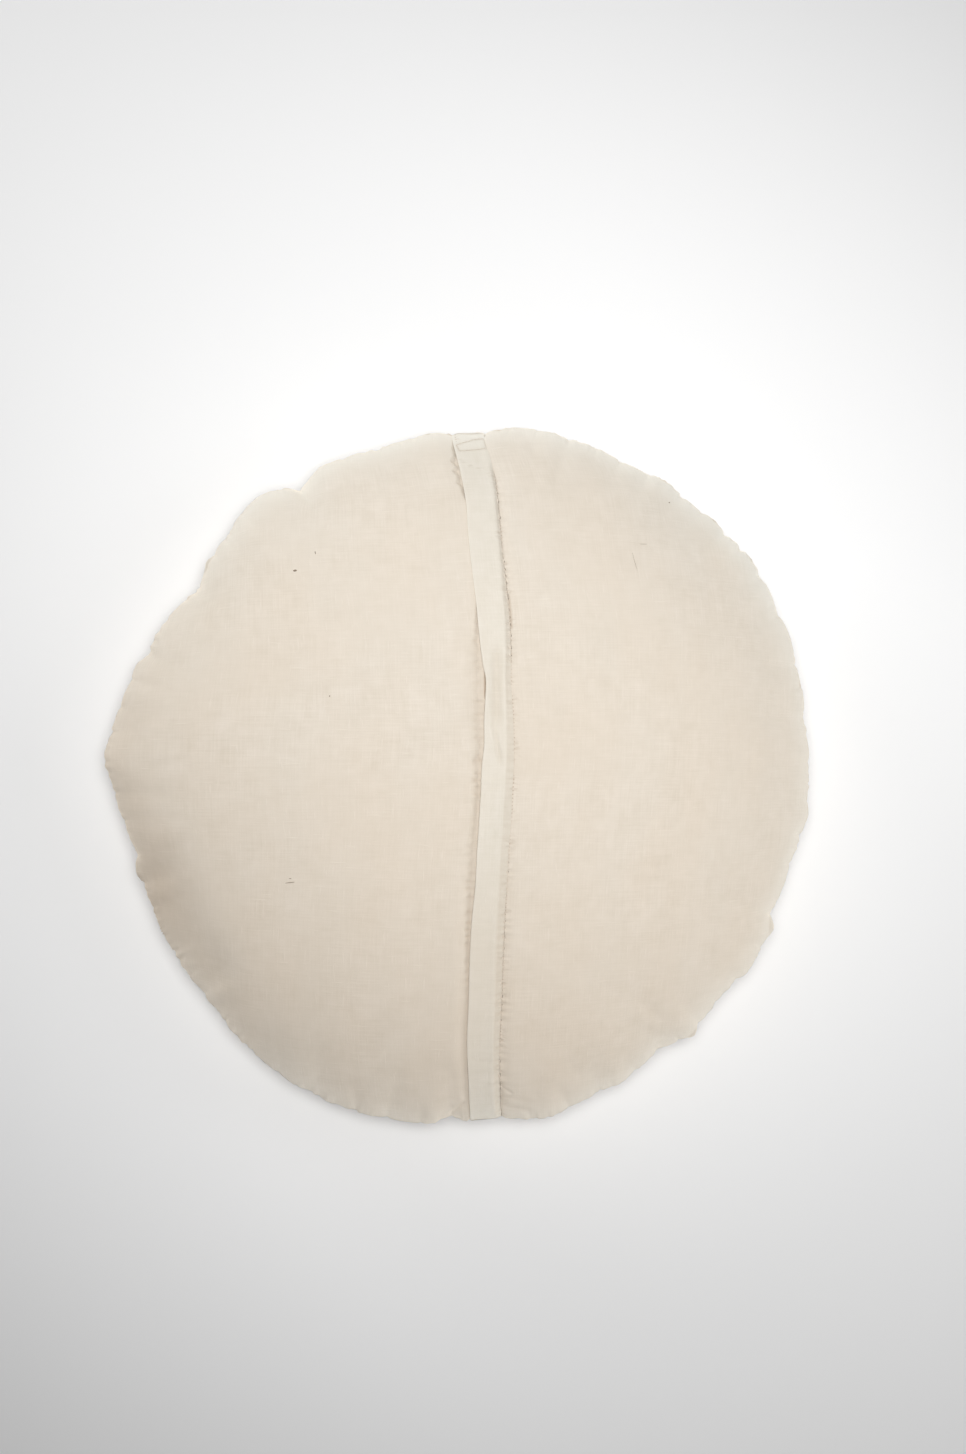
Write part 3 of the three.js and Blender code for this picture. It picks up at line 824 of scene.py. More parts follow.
def painted_tuft_shade(x, y, z):
    """Painted shade on the folded seam at the tufts."""
    degrees = np.mod(np.degrees(np.arctan2(y, x)), 360)
    off = np.hypot(rim_radius(degrees) - np.hypot(x, y), z - SEAM_HEIGHT - seam_wave(degrees))
    shades = [tuft.shade * nearness(tuft, degrees) for tuft in tufts]
    return sum(shades) * bell(off / TUFT_LINE)


def nicks(degrees):
    """How far the seam is drawn in by the puckers themselves."""
    drawn = np.zeros_like(degrees)
    for index, pucker in enumerate(rim_puckers):
        past = np.mod(degrees - pucker.at + 180, 360) - 180
        past = past if index % 2 else -past
        width = np.where(past > 0, NICK_STEEP, NICK_SLOW)
        drawn += (NICK + NICK_PER_SWELL * pucker.swell) * np.exp(-np.abs(past) / width)
    return drawn


def crinkle(piece):
    """Crinkles, trims and tufts a piece near the rim. A tuft shows most a little below the seam."""
    points = points_of(piece.data)
    x, y, z = from_middle(points)
    degrees, inside = rim_place(x, y)
    seam = SEAM_HEIGHT + seam_wave(degrees)
    off = np.hypot(inside, z - seam)
    along = np.radians(degrees) * MEAN_RADIUS
    spell = 0.55 + 0.45 * gather_wave(along, CRINKLE_SPELL, 0.9)
    wave = gather_wave(along, CRINKLE, 0.4) + 0.5 * gather_wave(along, FINE_CRINKLE, 1.7)
    lift = gather_wave(along, CRINKLE, 1.9) + 0.5 * gather_wave(along, FINE_CRINKLE, 0.3)
    fade = bell(off / CRINKLE_REACH)
    out = (SEAM_OUT + CRINKLE_OUT * spell * wave) * fade
    for trim in rim_trims:
        out = out + trim.out * MM * nearness(trim, degrees) * bell(inside / TRIM_REACH)
    below = np.maximum(seam - z, 0) / TUFT_DROP
    out = out - nicks(degrees) * fade
    for tuft in tufts:
        share = nearness(tuft, degrees) * below * np.exp(1 - below)
        out = out + tuft.out * MM * share * (off < TUFT_REACH)
    points[:, 0] += out * np.cos(np.radians(degrees))
    points[:, 1] += out * np.sin(np.radians(degrees))
    points[:, 2] += CRINKLE_LIFT * spell * lift * fade
    move_to(piece, points)


# The upper round as a smooth surface that the flap and the stitches lie on
SHARE_STEPS = 12
NORMAL_REACH = 4 * MM


class CoverSurface:
    """Reads the blown-up upper round by the share of its radius and the angle."""

    def __init__(self, cover):
        points = points_of(cover.data)
        rings = []
        start = 0
        for _, count in upper_rings:
            ring = points[start:start + count]
            turn = np.arange(RIM_POINTS + 1) * count / RIM_POINTS
            low = np.floor(turn).astype(int)
            part = (turn - low)[:, None]
            rings.append(ring[low % count] * (1 - part) + ring[(low + 1) % count] * part)
            start += count
        rings.append(np.repeat(points[start:start + 1], RIM_POINTS + 1, axis=0))
        self.grid = np.array(rings)[::-1]
        self.shares = np.array([share for share, _ in upper_rings] + [0.0])[::-1]

    def at(self, x, y):
        """The point of the cloth that lay over x, y from the middle before it was blown up."""
        degrees = np.mod(np.degrees(np.arctan2(y, x)), 360)
        radius = np.hypot(x, y)
        broad = broad_radius(degrees)
        pucker = rim_radius(degrees) - broad
        share = radius / broad
        for _ in range(SHARE_STEPS):
            share = np.minimum(radius / (broad + pucker * np.minimum(share, 1) ** PUCKER_FADE), 1)
        row = np.searchsorted(self.shares, share, side="right") - 1
        row = np.clip(row, 0, len(self.shares) - 2)
        part = (share - self.shares[row]) / (self.shares[row + 1] - self.shares[row])
        column = degrees / 360 * RIM_POINTS
        low = np.minimum(np.floor(column).astype(int), RIM_POINTS - 1)
        side = (column - low)[..., None]
        part = part[..., None]
        inner = self.grid[row, low] * (1 - side) + self.grid[row, low + 1] * side
        outer = self.grid[row + 1, low] * (1 - side) + self.grid[row + 1, low + 1] * side
        return inner * (1 - part) + outer * part

    def normal(self, x, y):
        inward = -np.sign(y) * NORMAL_REACH
        across = self.at(x + NORMAL_REACH, y) - self.at(x - NORMAL_REACH, y)
        along = self.at(x, y + inward) - self.at(x, y)
        normal = np.cross(across, along)
        normal *= np.sign(normal[..., 2:3])
        return normal / np.linalg.norm(normal, axis=-1, keepdims=True)


UNSEWN_AWAY = 20 * MM
FINE_STATIONS = 1500


def set_stitch_places(piece, surface):
    """A second layer for the material: metres from the stitches, and stitches counted along."""
    x, y, _ = from_middle(points_of(piece.data))
    away = x - closing_at(y).stitch + UNSEWN_AWAY * (1 - sewn_share(y))
    stations, _ = closing_stations(surface, STITCH_PITCH)
    count = np.interp(y, stations, np.arange(len(stations)))
    places = np.stack([away, count], axis=1)
    set_layer(piece, "stitch places", places[corner_points(piece)])


def closing_stations(surface, step):
    """Places along the closing, evenly spaced on the cloth: their Y from the middle."""
    fine = np.linspace(*FLAP_ENDS, FINE_STATIONS)
    closing = closing_at(fine)
    points = surface.at((closing.stitch + closing.edge) / 2, fine)
    along = np.concatenate([[0], np.cumsum(np.linalg.norm(np.diff(points, axis=0), axis=1))])
    count = int(along[-1] / step)
    return np.interp(np.linspace(0, along[-1], count + 1), along, fine), along[-1]


# The flap
FLAP_ENDS = (-235.2 * MM, 231.6 * MM)
FLAP_STEP = 1.6 * MM
FLAT_FOLD = 0.35 * MM
OPEN_FOLD = 0.75 * MM
FOLD_OPENS_FROM = 1 * MM
FOLD_OPENS_OVER = 4 * MM
FOLD_THINS_OVER = 4 * MM
FOLD_TURNS = (30, 60, 90, 120, 150)
FLAP_RISE = 0.35 * MM
RIDGE_RISE = 0.3 * MM
RIDGE_FROM_SHOULDER = 1.2 * MM
RIDGE_WIDTH = 2 * MM
GAPE_CURVE = 2.2
SHOULDER_SHARPNESS = 1.8
FLAP_MARGIN = 0.6 * MM
MARGIN_SINK = 0.25 * MM
FLAP_DEEPEST = 1.9 * MM
CLEAR_OF_BED = 0.2 * MM
END_TAPER = 9 * MM
END_RISE = 0.3
TOP_COLUMNS = 22
TOP_SPACING = 1.1
UNDER_COLUMNS = 7
UNDER_END = 0.3
MARGIN_END = 0.12


def flap_height(across, width, closing, x, y):
    """How far the flap's upper side lies off the crown; `across` runs left from the stitches."""
    up = ease(across / closing.shoulder) ** SHOULDER_SHARPNESS
    past_ridge = across - closing.shoulder - RIDGE_FROM_SHOULDER
    ridge = RIDGE_RISE * bell(past_ridge / RIDGE_WIDTH)
    lift = closing.gape * (np.clip(across / width, 0, 1) ** GAPE_CURVE)
    low = -STITCH_SINK - CREASE_DEPTH * bell(across / CREASE_WIDTH)
    rise = low * (1 - up) * stitch_pull(y) + FLAP_RISE * up + ridge * up + lift
    gathers = stitch_gathers(across, y) * ease(stitch_pull(y))
    return rise - gathers - crease_depth(x, y, flap_creases)


def flap_section(surface, stations, closing, kind, value):
    """One lengthwise line of the flap: how far it lies from the stitches, and its points."""
    width = closing.stitch - closing.edge
    opened = ease((closing.strip + FOLD_OPENS_FROM) / FOLD_OPENS_OVER)
    half = FLAT_FOLD + (OPEN_FOLD - FLAT_FOLD) * opened
    flat_width = width - half

    def height_at(across):
        return flap_height(np.maximum(across, 0), width, closing, closing.stitch - across, stations)

    if kind == "top":
        across = (flat_width + FLAP_MARGIN) * value - FLAP_MARGIN
        rise = height_at(across)
        margin = -(STITCH_SINK + CREASE_DEPTH) * stitch_pull(stations) - MARGIN_SINK
        rise = np.where(across < 0, margin, rise)
    elif kind == "fold":
        across = flat_width + half * math.sin(value)
        rise = height_at(flat_width) - half + half * math.cos(value)
    elif kind == "under":
        across = flat_width * value
        from_fold = ease((width - across) / FOLD_THINS_OVER)
        thickness = 2 * half + (2 * OPEN_FOLD - 2 * half) * from_fold
        rise = np.maximum(height_at(across) - thickness, -FLAP_DEEPEST)
    else:
        across = flat_width * value
        bed = bed_depth(closing.stitch - across, stations)
        rise = -np.minimum(bed - CLEAR_OF_BED, FLAP_DEEPEST)
    from_end = np.minimum(FLAP_ENDS[1] - stations, stations - FLAP_ENDS[0])
    kept = END_RISE + (1 - END_RISE) * ease(from_end / END_TAPER)
    x = closing.stitch - across
    return across, surface.at(x, stations) + surface.normal(x, stations) * (rise * kept)[:, None]


def flap_cloth(surface):
    """The flap: doubled cloth with a pressed fold at its free edge, from rim to rim."""
    stations, length = closing_stations(surface, FLAP_STEP)
    closing = closing_at(stations)
    lines = [("top", share) for share in 1 - (1 - np.linspace(0, 1, TOP_COLUMNS)) ** TOP_SPACING]
    lines += [("fold", math.radians(turn)) for turn in FOLD_TURNS]
    lines += [("under", share) for share in np.linspace(1, UNDER_END, UNDER_COLUMNS)]
    lines += [("margin", MARGIN_END)]
    sections = [flap_section(surface, stations, closing, *line) for line in lines]
    across = np.stack([section[0] for section in sections], axis=1)
    rows = np.stack([section[1] for section in sections], axis=1)
    count, around = across.shape
    faces = []
    for row in range(count - 1):
        here, after = row * around, (row + 1) * around
        for column in range(around):
            follow = (column + 1) % around
            faces.append((here + column, after + column, after + follow, here + follow))
    faces.append(tuple(range(around)))
    faces.append(tuple((count - 1) * around + column for column in reversed(range(around))))
    flap = new_object("flap_cloth", rows.reshape(-1, 3), faces)
    along = np.repeat(np.linspace(-length / 2, length / 2, count)[:, None], around, axis=1)
    flat = np.stack([-across, along], axis=2).reshape(-1, 2)
    set_layer(flap, "grain", flat[corner_points(flap)])
    columns = [painted_shade_and_light_of_flap(closing, section[0], stations) for section in sections]
    set_painted_shade_and_light(flap, np.stack(columns, axis=1).ravel())
    smooth_shading(flap)
    return flap, length


# Topstitching
STITCH_PITCH = 2.5 * MM
STITCH_LENGTH = 2.1 * MM
THREAD = 0.45 * MM
THREAD_SIDES = 6
THREAD_ROUNDING = 0.3
STITCH_CUTS = (-0.25, 0, 0.25)
STITCH_DIP = 0.75
THREAD_LIFT = 0.2 * MM
TACK_PITCH = 2.0 * MM


def one_stitch():
    """A short length of thread with rounded ends that dip into the cloth."""
    bpy.ops.object.select_all(action="DESELECT")
    bpy.ops.mesh.primitive_cylinder_add(
        vertices=THREAD_SIDES, radius=THREAD / 2, depth=STITCH_LENGTH,
        rotation=(0, math.pi / 2, 0))
    stitch = bpy.context.object
    stitch.name = "stitch"
    bpy.ops.object.transform_apply(location=False, rotation=True, scale=False)
    bpy.ops.object.mode_set(mode="EDIT")
    bpy.ops.mesh.select_all(action="SELECT")
    bpy.ops.mesh.bevel(offset=THREAD * THREAD_ROUNDING, segments=1, affect="EDGES")
    bpy.ops.mesh.select_all(action="SELECT")
    for place in STITCH_CUTS:
        bpy.ops.mesh.bisect(plane_co=(place * STITCH_LENGTH, 0, 0), plane_no=(1, 0, 0))
        bpy.ops.mesh.select_all(action="SELECT")
    bpy.ops.object.mode_set(mode="OBJECT")
    for vertex in stitch.data.vertices:
        share = abs(vertex.co.x) / (STITCH_LENGTH / 2)
        vertex.co.z -= THREAD * STITCH_DIP * share ** 2
    smooth_shading(stitch)
    return stitch


def copy_of(pattern, name):
    """A copy with its own mesh."""
    return in_scene(name, pattern.data.copy())


def joined(copies):
    """Joins the copies into the first of them."""
    use_only(copies[0])
    for copy in copies:
        copy.select_set(True)
    bpy.ops.object.join()
    return copies[0]


def sew(name, pattern, seats):
    """Copies a stitch to each seat, a place, a direction and a normal, and joins the copies."""
    copies = []
    for place, run, normal in seats:
        run = Vector(run).normalized()
        normal = Vector(normal).normalized()
        side = normal.cross(run).normalized()
        top = run.cross(side)
        copy = copy_of(pattern, name)
        for vertex in copy.data.vertices:
            vertex.co = Vector(place) + run * vertex.co.x + side * vertex.co.y + top * vertex.co.z
        copies.append(copy)
    return joined(copies)


def seats_along(surface, x, y, rise):
    """Seats along a sewn line, its points a stitch apart."""
    points = surface.at(x, y)
    normals = surface.normal(x, y)
    points = points + normals * np.asarray(rise)[..., None]
    middles = (points[1:] + points[:-1]) / 2
    runs = points[1:] - points[:-1]
    return list(zip(middles, runs, (normals[1:] + normals[:-1]) / 2))


def topstitching(surface, pattern):
    stations, _ = closing_stations(surface, STITCH_PITCH)
    stations = stations[stations < SEWN_TO - SEWN_FADE / 2]
    closing = closing_at(stations)
    rise = THREAD_LIFT - STITCH_SINK - CREASE_DEPTH - stitch_gathers(0, stations)
    return sew("flap_stitches", pattern, seats_along(surface, closing.stitch, stations, rise))


def tack(surface, pattern):
    seats = []
    for (x, y), (to_x, to_y) in zip(tack_corners, tack_corners[1:]):
        run = math.hypot(to_x - x, to_y - y) * MM
        count = max(2, round(run / TACK_PITCH) + 1)
        xs = np.linspace(x, to_x, count) * MM
        ys = np.linspace(y, to_y, count) * MM
        closing = closing_at(ys)
        across = np.clip(closing.stitch - xs, 0, None)
        rise = flap_height(across, closing.stitch - closing.edge, closing, xs, ys) + THREAD_LIFT
        seats += seats_along(surface, xs, ys, rise)
    return sew("tack_stitches", pattern, seats)


# Fibre flecks on the panels: X and Y from the middle, length and thickness in millimetres, turn
Fleck = namedtuple("Fleck", "x y long thick turn")
flecks = [Fleck(*row) for row in (
    (-114.6, 137.2, 2.8, 1.5, 4), (-101.2, 149.4, 2.3, 0.6, 108), (-117.1, -71.0, 7.2, 0.48, 6),
    (-117.0, -68.3, 2.0, 0.45, 4), (-90.3, 53.0, 0.9, 0.8, 40), (138.0, 185.3, 1.4, 0.9, 25),
    (112.9, 143.4, 15.0, 0.1, 100), (119.0, 155.4, 5.6, 0.12, 0),
)]
FLECK_SEGMENTS, FLECK_RINGS = 10, 6
FLECK_HEIGHT = 0.4 * MM
FLECK_LIFT = 0.1 * MM


def fibre_flecks(surface):
    """Flattened beads of dark fibre that lie on the cloth."""
    bpy.ops.object.select_all(action="DESELECT")
    bpy.ops.mesh.primitive_uv_sphere_add(
        segments=FLECK_SEGMENTS, ring_count=FLECK_RINGS, radius=0.5)
    pattern = bpy.context.object
    copies = []
    for fleck in flecks:
        x, y = np.array([fleck.x * MM]), np.array([fleck.y * MM])
        place, normal = Vector(surface.at(x, y)[0]), Vector(surface.normal(x, y)[0])
        side = normal.cross(Vector((0, 1, 0))).normalized()
        turn = math.radians(fleck.turn)
        run = side * math.cos(turn) + normal.cross(side) * math.sin(turn)
        across = normal.cross(run)
        copy = copy_of(pattern, "fibre_fleck")
        for vertex in copy.data.vertices:
            flat = run * vertex.co.x * fleck.long * MM + across * vertex.co.y * fleck.thick * MM
            vertex.co = place + flat + normal * (vertex.co.z * FLECK_HEIGHT + FLECK_LIFT)
        copies.append(copy)
    bpy.data.objects.remove(pattern)
    specks = joined(copies)
    smooth_shading(specks)
    return specks


# Finishes. Noise is given in waves to a metre, across the cloth and along it.
WARP = 0.68 * MM
WEFT = 0.74 * MM
THREAD_WOBBLE = (160, 160)
WARP_STREAKS = (1150, 30)
WEFT_STREAKS = (40, 1050)
STREAK_DETAIL = (3, 0.6)
STREAK_SHARE = 0.8
WARP_SLUBS = (620, 70)
WEFT_SLUBS = (60, 560)
CLOUDS = (38, 38)
CLOUD_DETAIL = (4, 0.6)
CLOUD_SHARE = 0.3
MOTTLE = (130, 110)
MOTTLE_SHARE = 0.2
SPELLS = (13, 13)
TINTS = (17, 9)
# Ranges: values from the first to the second become values from the third to the fourth
WARP_SLUB_RANGE = (0.62, 0.74, 0, 1)
WEFT_SLUB_RANGE = (0.64, 0.76, 0, 1)
STREAK_RANGE = (0.35, 0.65, 0.75, 1.45)
TINT_RANGE = (0.35, 0.65, 0.985, 1)
TONE_RANGE = (-0.2, 0.2, 0, 1)
THREAD_GAP_RANGE = (0, 0.55, 0.96, 1)
SLUB_LIGHT_RANGE = (0, 1, 0, 0.65)
# Painted shade is tinted warmer the darker it is
PAINTED_SHADE_WARMTH = 0.2
# Painted light tint: the cloth is painted a trace warmer towards the closing's lower end,
# and cooler towards its upper end
PAINTED_LIGHT_TINT_RANGE = (-200 * MM, 200 * MM, 0.997, 1.002)
PAINTED_LIGHT_TINT_WARMTH = 6
# The pale colour of the painted rim glow
PAINTED_RIM_PALE_COLOUR = (0.865, 0.855, 0.785, 1)
SLUB_RAISE = 0.9
THREAD_RAISE = 0.5
WEAVE_DEPTH = 0.1 * MM
WEAVE_BUMP = 0.55
CLOUD_DEPTH = 1.2 * MM
CLOUD_BUMP = 0.12
LINEN_ROUGHNESS = 0.93
LINEN_SHEEN = {
    "Sheen Weight": 0.8,
    "Sheen Roughness": 0.5,
    "Sheen Tint": (1, 0.9, 0.76, 1),
    "Specular IOR Level": 0.25,
}

# Each cloth's plain colour, and those of its dark and its light threads
Linen = namedtuple("Linen", "plain dark light")
COVER_LINEN = Linen((0.766, 0.686, 0.591), (0.68, 0.607, 0.507), (0.784, 0.712, 0.621))
FLAP_LINEN = Linen((0.765, 0.708, 0.618), (0.7, 0.65, 0.555), (0.789, 0.738, 0.658))

# Needle holes and the short puckers across the stitches, with painted shade in them
HOLE = 0.6 * MM
HOLE_DARKEST = 0.4
HOLE_SHADE = 0.3
GROOVE = 1.6 * MM
GROOVE_SHADE = 0.025
PUCKER_TICKS = (150, 430)
TICK_RANGE = (0.5, 0.68, 0, 1)
TICK_SHADE = 0.12
TICK_REACH = 5 * MM
TICK_FULL = 0.2
TICK_DEPTH = 0.5 * MM
TICK_BUMP = 0.6
STITCH_SPELLS = (9, 38)
TICK_SPELLS = (40, 75)
SPELL_RANGE = (0.42, 0.6, 0.1, 1)


class Output:
    """What a node gives out. Adding, multiplying and so on makes the nodes that do so."""

    def __init__(self, finish, socket):
        self.finish, self.socket = finish, socket

    def __add__(self, other):
        return self.finish.sum("ADD", self, other)

    def __sub__(self, other):
        return self.finish.sum("SUBTRACT", self, other)

    def __rsub__(self, other):
        return self.finish.sum("SUBTRACT", other, self)

    def __mul__(self, other):
        return self.finish.sum("MULTIPLY", self, other)

    def __truediv__(self, other):
        return self.finish.sum("DIVIDE", self, other)

    def __pow__(self, other):
        return self.finish.sum("POWER", self, other)

    def __abs__(self):
        return self.finish.sum("ABSOLUTE", self)


class Finish:
    """A material, with short calls that add its nodes."""

    def __init__(self, name, colour, roughness):
        self.material = bpy.data.materials.new(name)
        self.material.use_nodes = True
        self.tree = self.material.node_tree
        self.shader = self.tree.nodes["Principled BSDF"]
        self.feed(self.shader, {"Base Color": (*colour, 1), "Roughness": roughness})

    def feed(self, node, inputs):
        """Sets a node's inputs by name or place, or links them to what other nodes give out."""
        for place, value in inputs.items():
            if isinstance(value, Output):
                self.tree.links.new(value.socket, node.inputs[place])
            elif value is not None:
                node.inputs[place].default_value = value

    def add(self, kind, output, inputs, **settings):
        """A new node's output."""
        node = self.tree.nodes.new(kind)
        set_all(node, settings)
        self.feed(node, inputs)
        return Output(self, node.outputs[output])

    def layer(self, name):
        """The two numbers of a layer that set_layer made."""
        return self.add("ShaderNodeUVMap", "UV", {}, uv_map=name)

    def tone_of(self, name):
        """A layer of painted light and shade kept on the cloth's points."""
        return self.add("ShaderNodeAttribute", "Fac", {}, attribute_name=name)

    def place(self):
        return self.add("ShaderNodeTexCoord", "Object", {})

    def parts(self, vector):
        """The first two parts of a vector."""
        first = self.add("ShaderNodeSeparateXYZ", "X", {0: vector})
        return first, Output(self, first.socket.node.outputs["Y"])

    def sum(self, operation, first, second=None):
        return self.add("ShaderNodeMath", "Value", {0: first, 1: second}, operation=operation)

    def mixed(self, first, second, share):
        """A weighted mean of two values: `share` of the second and the rest of the first."""
        return first * (1 - share) + second * share

    def noise(self, vector, waves, detail=2.0, roughness=0.5):
        """Soft noise from 0 to 1, with so many waves to a metre across and along the cloth."""
        factors = {0: vector, 1: (*waves, 1)}
        stretched = self.add("ShaderNodeVectorMath", "Vector", factors, operation="MULTIPLY")
        inputs = {"Vector": stretched, "Scale": 1, "Detail": detail, "Roughness": roughness}
        return self.add("ShaderNodeTexNoise", "Fac", inputs, noise_dimensions="3D")

    def between(self, value, low, high, to_low, to_high):
        """Maps a range onto another, and holds it at both ends."""
        inputs = dict(enumerate((value, low, high, to_low, to_high)))
        return self.add("ShaderNodeMapRange", "Result", inputs)

    def blend(self, factor, first, second, mode="MIX"):
        inputs = {"Factor": factor, 6: first, 7: second}
        return self.add("ShaderNodeMix", 2, inputs, data_type="RGBA", blend_type=mode)

    def toned(self, body, tone, warmth=0.0):
        """A colour times a tone; with warmth, red falls less and blue more than the tone."""
        shades = {0: tone ** (1 - warmth), 1: tone, 2: tone ** (1 + warmth)}
        return self.blend(1.0, body, self.add("ShaderNodeCombineXYZ", "Vector", shades), "MULTIPLY")

    def bump(self, height, depth, strength, under=None):
        inputs = {"Strength": strength, "Distance": depth, "Height": height, "Normal": under}
        return self.add("ShaderNodeBump", "Normal", inputs)


def painted_stitch_shade(cloth, grain):
    """Painted shade in needle holes, groove and puckers; and the puckers, from 0 to 1."""
    away, count = cloth.parts(cloth.layer("stitch places"))
    off = abs(away)
    along = (0.5 - abs(cloth.sum("FRACT", count) - 0.5)) * STITCH_PITCH
    reach = cloth.sum("SQRT", off ** 2 + along ** 2)
    spell = cloth.between(cloth.noise(grain, STITCH_SPELLS), *SPELL_RANGE)
    hole = cloth.between(reach, HOLE_DARKEST * HOLE, HOLE, HOLE_SHADE, 0) * spell
    groove = cloth.between(off, 0, GROOVE, GROOVE_SHADE, 0) * spell
    ticks = cloth.between(cloth.noise(grain, PUCKER_TICKS, 1), *TICK_RANGE)
    ticks = ticks * cloth.between(cloth.noise(grain, TICK_SPELLS, 1), *SPELL_RANGE)
    ticks = ticks * cloth.between(off, TICK_FULL * TICK_REACH, TICK_REACH, 1, 0)
    return hole + groove + ticks * TICK_SHADE, ticks


def linen(name, colours):
    """Plain-weave linen: uneven threads both ways, with slubs, soft clouds and a faint sheen."""
    cloth = Finish(name, colours.plain, LINEN_ROUGHNESS)
    dark, light = (*colours.dark, 1), (*colours.light, 1)
    grain = cloth.layer("grain")
    wobble = cloth.noise(grain, THREAD_WOBBLE)
    across, along = cloth.parts(grain)
    warp = cloth.sum("SINE", (across / WARP + wobble) * math.pi)
    weft = cloth.sum("SINE", (along / WEFT + wobble) * math.pi)
    both = warp * weft
    rounded = cloth.sum("SQRT", abs(both))
    warp_on_top = cloth.sum("GREATER_THAN", both, 0.0)

    warp_tone = cloth.noise(grain, WARP_STREAKS, *STREAK_DETAIL)
    weft_tone = cloth.noise(grain, WEFT_STREAKS, *STREAK_DETAIL)
    warp_slub = cloth.between(cloth.noise(grain, WARP_SLUBS), *WARP_SLUB_RANGE)
    weft_slub = cloth.between(cloth.noise(grain, WEFT_SLUBS), *WEFT_SLUB_RANGE)
    slub = cloth.sum("MAXIMUM", warp_slub, weft_slub)
    threads = cloth.blend(warp_on_top, weft_tone, warp_tone)
    streaks = cloth.mixed(warp_tone, weft_tone, 0.5)
    clouds = cloth.noise(grain, CLOUDS, *CLOUD_DETAIL)
    tone = cloth.mixed(cloth.mixed(threads, streaks, STREAK_SHARE), clouds, CLOUD_SHARE)
    tone = cloth.mixed(tone, cloth.noise(grain, MOTTLE), MOTTLE_SHARE)
    strength = cloth.between(cloth.noise(grain, SPELLS, 1), *STREAK_RANGE)
    tone = cloth.between((tone - 0.5) * strength, *TONE_RANGE)
    body = cloth.blend(tone, dark, light)
    body = cloth.blend(cloth.between(slub, *SLUB_LIGHT_RANGE), body, light)
    body = cloth.toned(body, cloth.between(rounded, *THREAD_GAP_RANGE))
    body = cloth.toned(body, cloth.between(cloth.noise(grain, TINTS), *TINT_RANGE), 1.0)
    # Painted light tint: warmer low on the cushion, cooler high up
    _, up = cloth.parts(cloth.place())
    body = cloth.toned(body, cloth.between(up, *PAINTED_LIGHT_TINT_RANGE), PAINTED_LIGHT_TINT_WARMTH)
    # Painted rim glow: the colour is blended towards a pale one near the rim
    body = cloth.blend(cloth.tone_of("pale"), body, PAINTED_RIM_PALE_COLOUR)
    # Painted shade of the stitches, and the layer of painted shade and light, warmer where darker
    stitch_shade_share, ticks = painted_stitch_shade(cloth, grain)
    body = cloth.toned(body, (1 - stitch_shade_share) * cloth.tone_of("painted_shade_and_light"), PAINTED_SHADE_WARMTH)

    height = rounded + slub * SLUB_RAISE + threads * THREAD_RAISE
    normal = cloth.bump(clouds, CLOUD_DEPTH, CLOUD_BUMP)
    normal = cloth.bump(1 - ticks, TICK_DEPTH, TICK_BUMP, normal)
    normal = cloth.bump(height, WEAVE_DEPTH, WEAVE_BUMP, normal)
    cloth.feed(cloth.shader, {"Base Color": body, "Normal": normal, **LINEN_SHEEN})
    return cloth.material


COTTON = (0.76, 0.68, 0.58)
COTTON_ROUGHNESS = 0.8
DARK_STRAND = (0.7, 0.62, 0.52, 1)
LIGHT_STRAND = (0.79, 0.71, 0.61, 1)
TWISTS = 900
STRAND_DEPTH = 0.08 * MM
STRAND_BUMP = 0.6


def thread_finish():
    """Cotton thread, two strands twisted."""
    thread = Finish("cotton_thread", COTTON, COTTON_ROUGHNESS)
    inputs = {"Vector": thread.place(), "Scale": TWISTS, "Distortion": 0.5}
    twist = thread.add("ShaderNodeTexWave", "Fac", inputs, bands_direction="DIAGONAL")
    tone = thread.blend(twist, DARK_STRAND, LIGHT_STRAND)
    normal = thread.bump(twist, STRAND_DEPTH, STRAND_BUMP)
    thread.feed(thread.shader, {"Base Color": tone, "Normal": normal})
    return thread.material


FIBRE_BROWN = (0.27, 0.215, 0.16)
FLOOR_WHITE = (0.9, 0.9, 0.9)
MATT = 0.9


# Making

cover, cut = sewn_cover()
blow_up(cover, cut)
settle(cover)
surface = CoverSurface(cover)
finer_cover(cover)
for wanted in (in_bed, on_bed_lines, on_rim):
    halve_faces(cover, wanted)
set_stitch_places(cover, surface)
set_painted_shade_and_light(cover, painted_shade_and_light_of_cover(*from_middle(points_of(cover.data))))
press_bed(cover)
crinkle(cover)
settle(cover)
smooth_shading(cover)
cover.data.materials.append(linen("linen_cover", COVER_LINEN))
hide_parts("cushion")
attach(cover, "root")

flap, flap_length = flap_cloth(surface)
set_stitch_places(flap, surface)
crinkle(flap)
flap.data.materials.append(linen("linen_flap", FLAP_LINEN))
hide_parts("closing_flap")
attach(flap, "root")

pattern = one_stitch()
seams = [topstitching(surface, pattern), tack(surface, pattern)]
bpy.data.objects.remove(pattern)
thread = thread_finish()
for seam in seams:
    crinkle(seam)
    seam.data.materials.append(thread)
    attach(seam, "root")
specks = fibre_flecks(surface)
specks.data.materials.append(Finish("dark_fibre", FIBRE_BROWN, MATT).material)
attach(specks, "root")


# Floor, light and camera

FLOOR_SIZE = 8


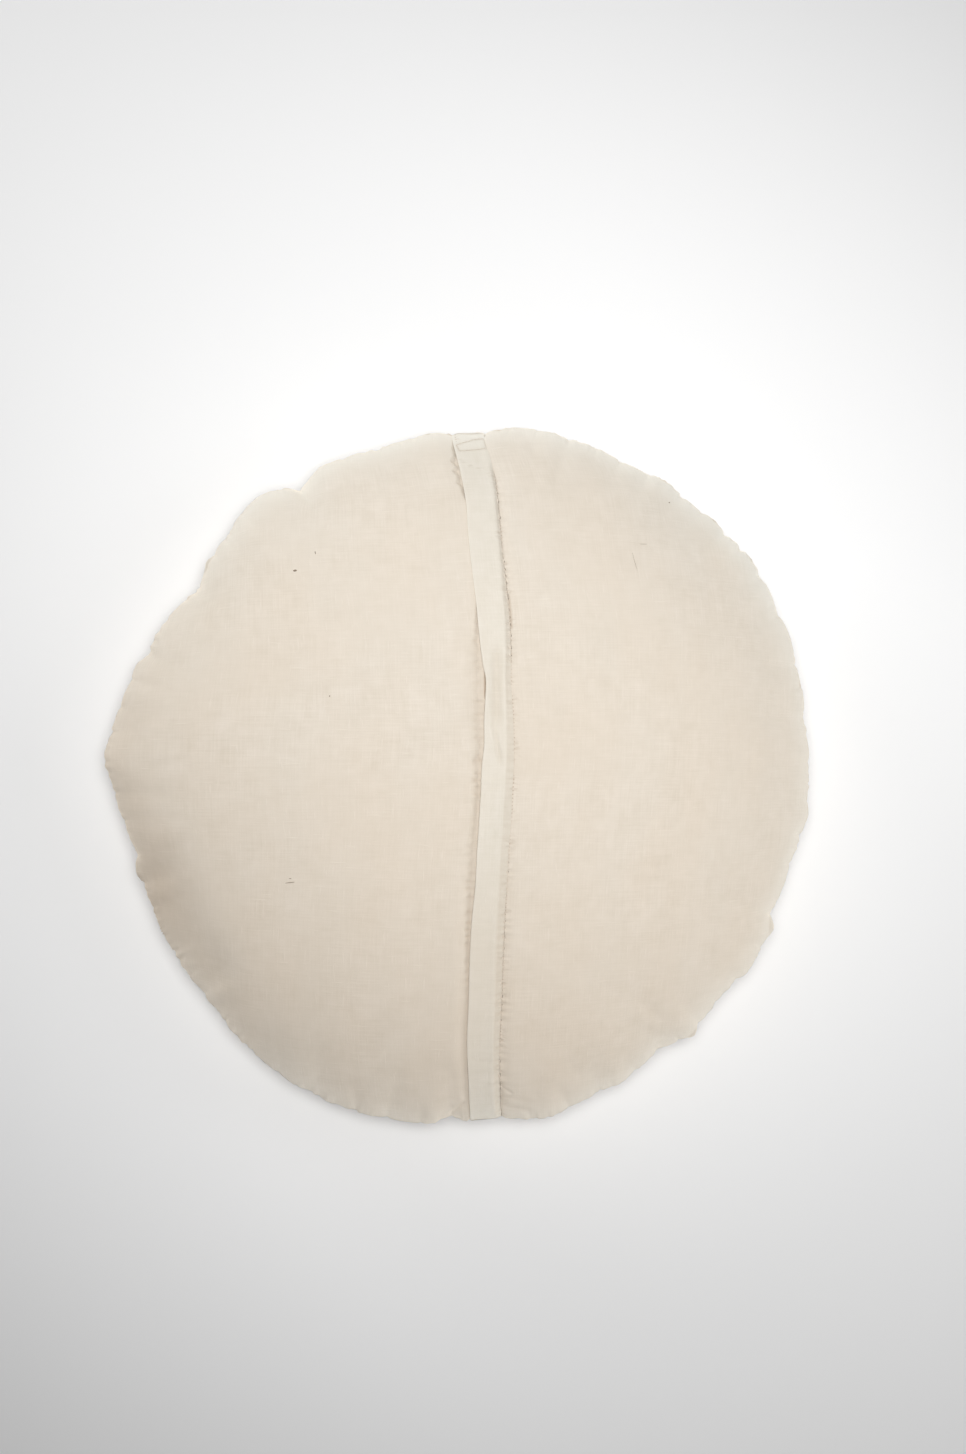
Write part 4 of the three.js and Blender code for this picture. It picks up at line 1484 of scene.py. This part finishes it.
def pale_floor():
    bpy.ops.object.select_all(action="DESELECT")
    bpy.ops.mesh.primitive_plane_add(size=FLOOR_SIZE, location=(0, 0, 0))
    floor = bpy.context.object
    floor.name = "pale_floor"
    floor.data.materials.append(Finish("pale_floor", FLOOR_WHITE, MATT).material)


def lamp(name, kind, place, aim, power, **settings):
    light = bpy.data.lights.new(name, kind)
    light.energy = power
    set_all(light, settings)
    holder = in_scene(name, light)
    holder.location = place
    holder.rotation_euler = (Vector(aim) - Vector(place)).to_track_quat("-Z", "Y").to_euler()


def white_surround(strength):
    """Faint white light from all round."""
    world = bpy.data.worlds.new("surround")
    bpy.context.scene.world = world
    world.use_nodes = True
    background = world.node_tree.nodes["Background"]
    background.inputs["Color"].default_value = (1, 1, 1, 1)
    background.inputs["Strength"].default_value = strength


# The camera hangs straight over the floor, up and right of the cushion's middle.
PHOTO_WIDTH, PHOTO_HEIGHT = 966, 1454
PIXEL = 0.682 * MM
CUSHION_IN_PHOTO = (466.5, 774.7)
LENS = 85
SENSOR = 36


def overhead_camera():
    camera = in_scene("camera", bpy.data.cameras.new("camera"))
    camera.data.lens = LENS
    camera.data.sensor_width = SENSOR
    x = MIDDLE.x + (PHOTO_WIDTH / 2 - CUSHION_IN_PHOTO[0]) * PIXEL
    y = MIDDLE.y - (PHOTO_HEIGHT / 2 - CUSHION_IN_PHOTO[1]) * PIXEL
    above = PHOTO_HEIGHT * PIXEL * LENS / SENSOR
    camera.location = (x, y, SEAM_HEIGHT + above)
    camera.rotation_euler = (0, 0, 0)
    bpy.context.scene.camera = camera


pale_floor()
# A broad soft lamp over the cushion, whose pool of light fades towards the picture's corners
lamp(
    "overhead", "SPOT", (0.1, 0.2, 3.0), (0.06, 0.12, 0), 339,
    shadow_soft_size=0.5, spot_size=math.radians(34), spot_blend=1)
lamp("right_fill", "AREA", (1.5, 0.1, 1.1), (0, 0, 0), 4.8, size=1.0)
lamp("low_left_fill", "AREA", (-1.0, 1.0, 0.4), (0, 0, 0.05), 6.6, size=0.7)
lamp("low_right_fill", "AREA", (1.0, -1.0, 0.4), (0, 0, 0.05), 2.9, size=0.7)
white_surround(0.1)
overhead_camera()
bpy.context.scene.view_settings.view_transform = "Standard"
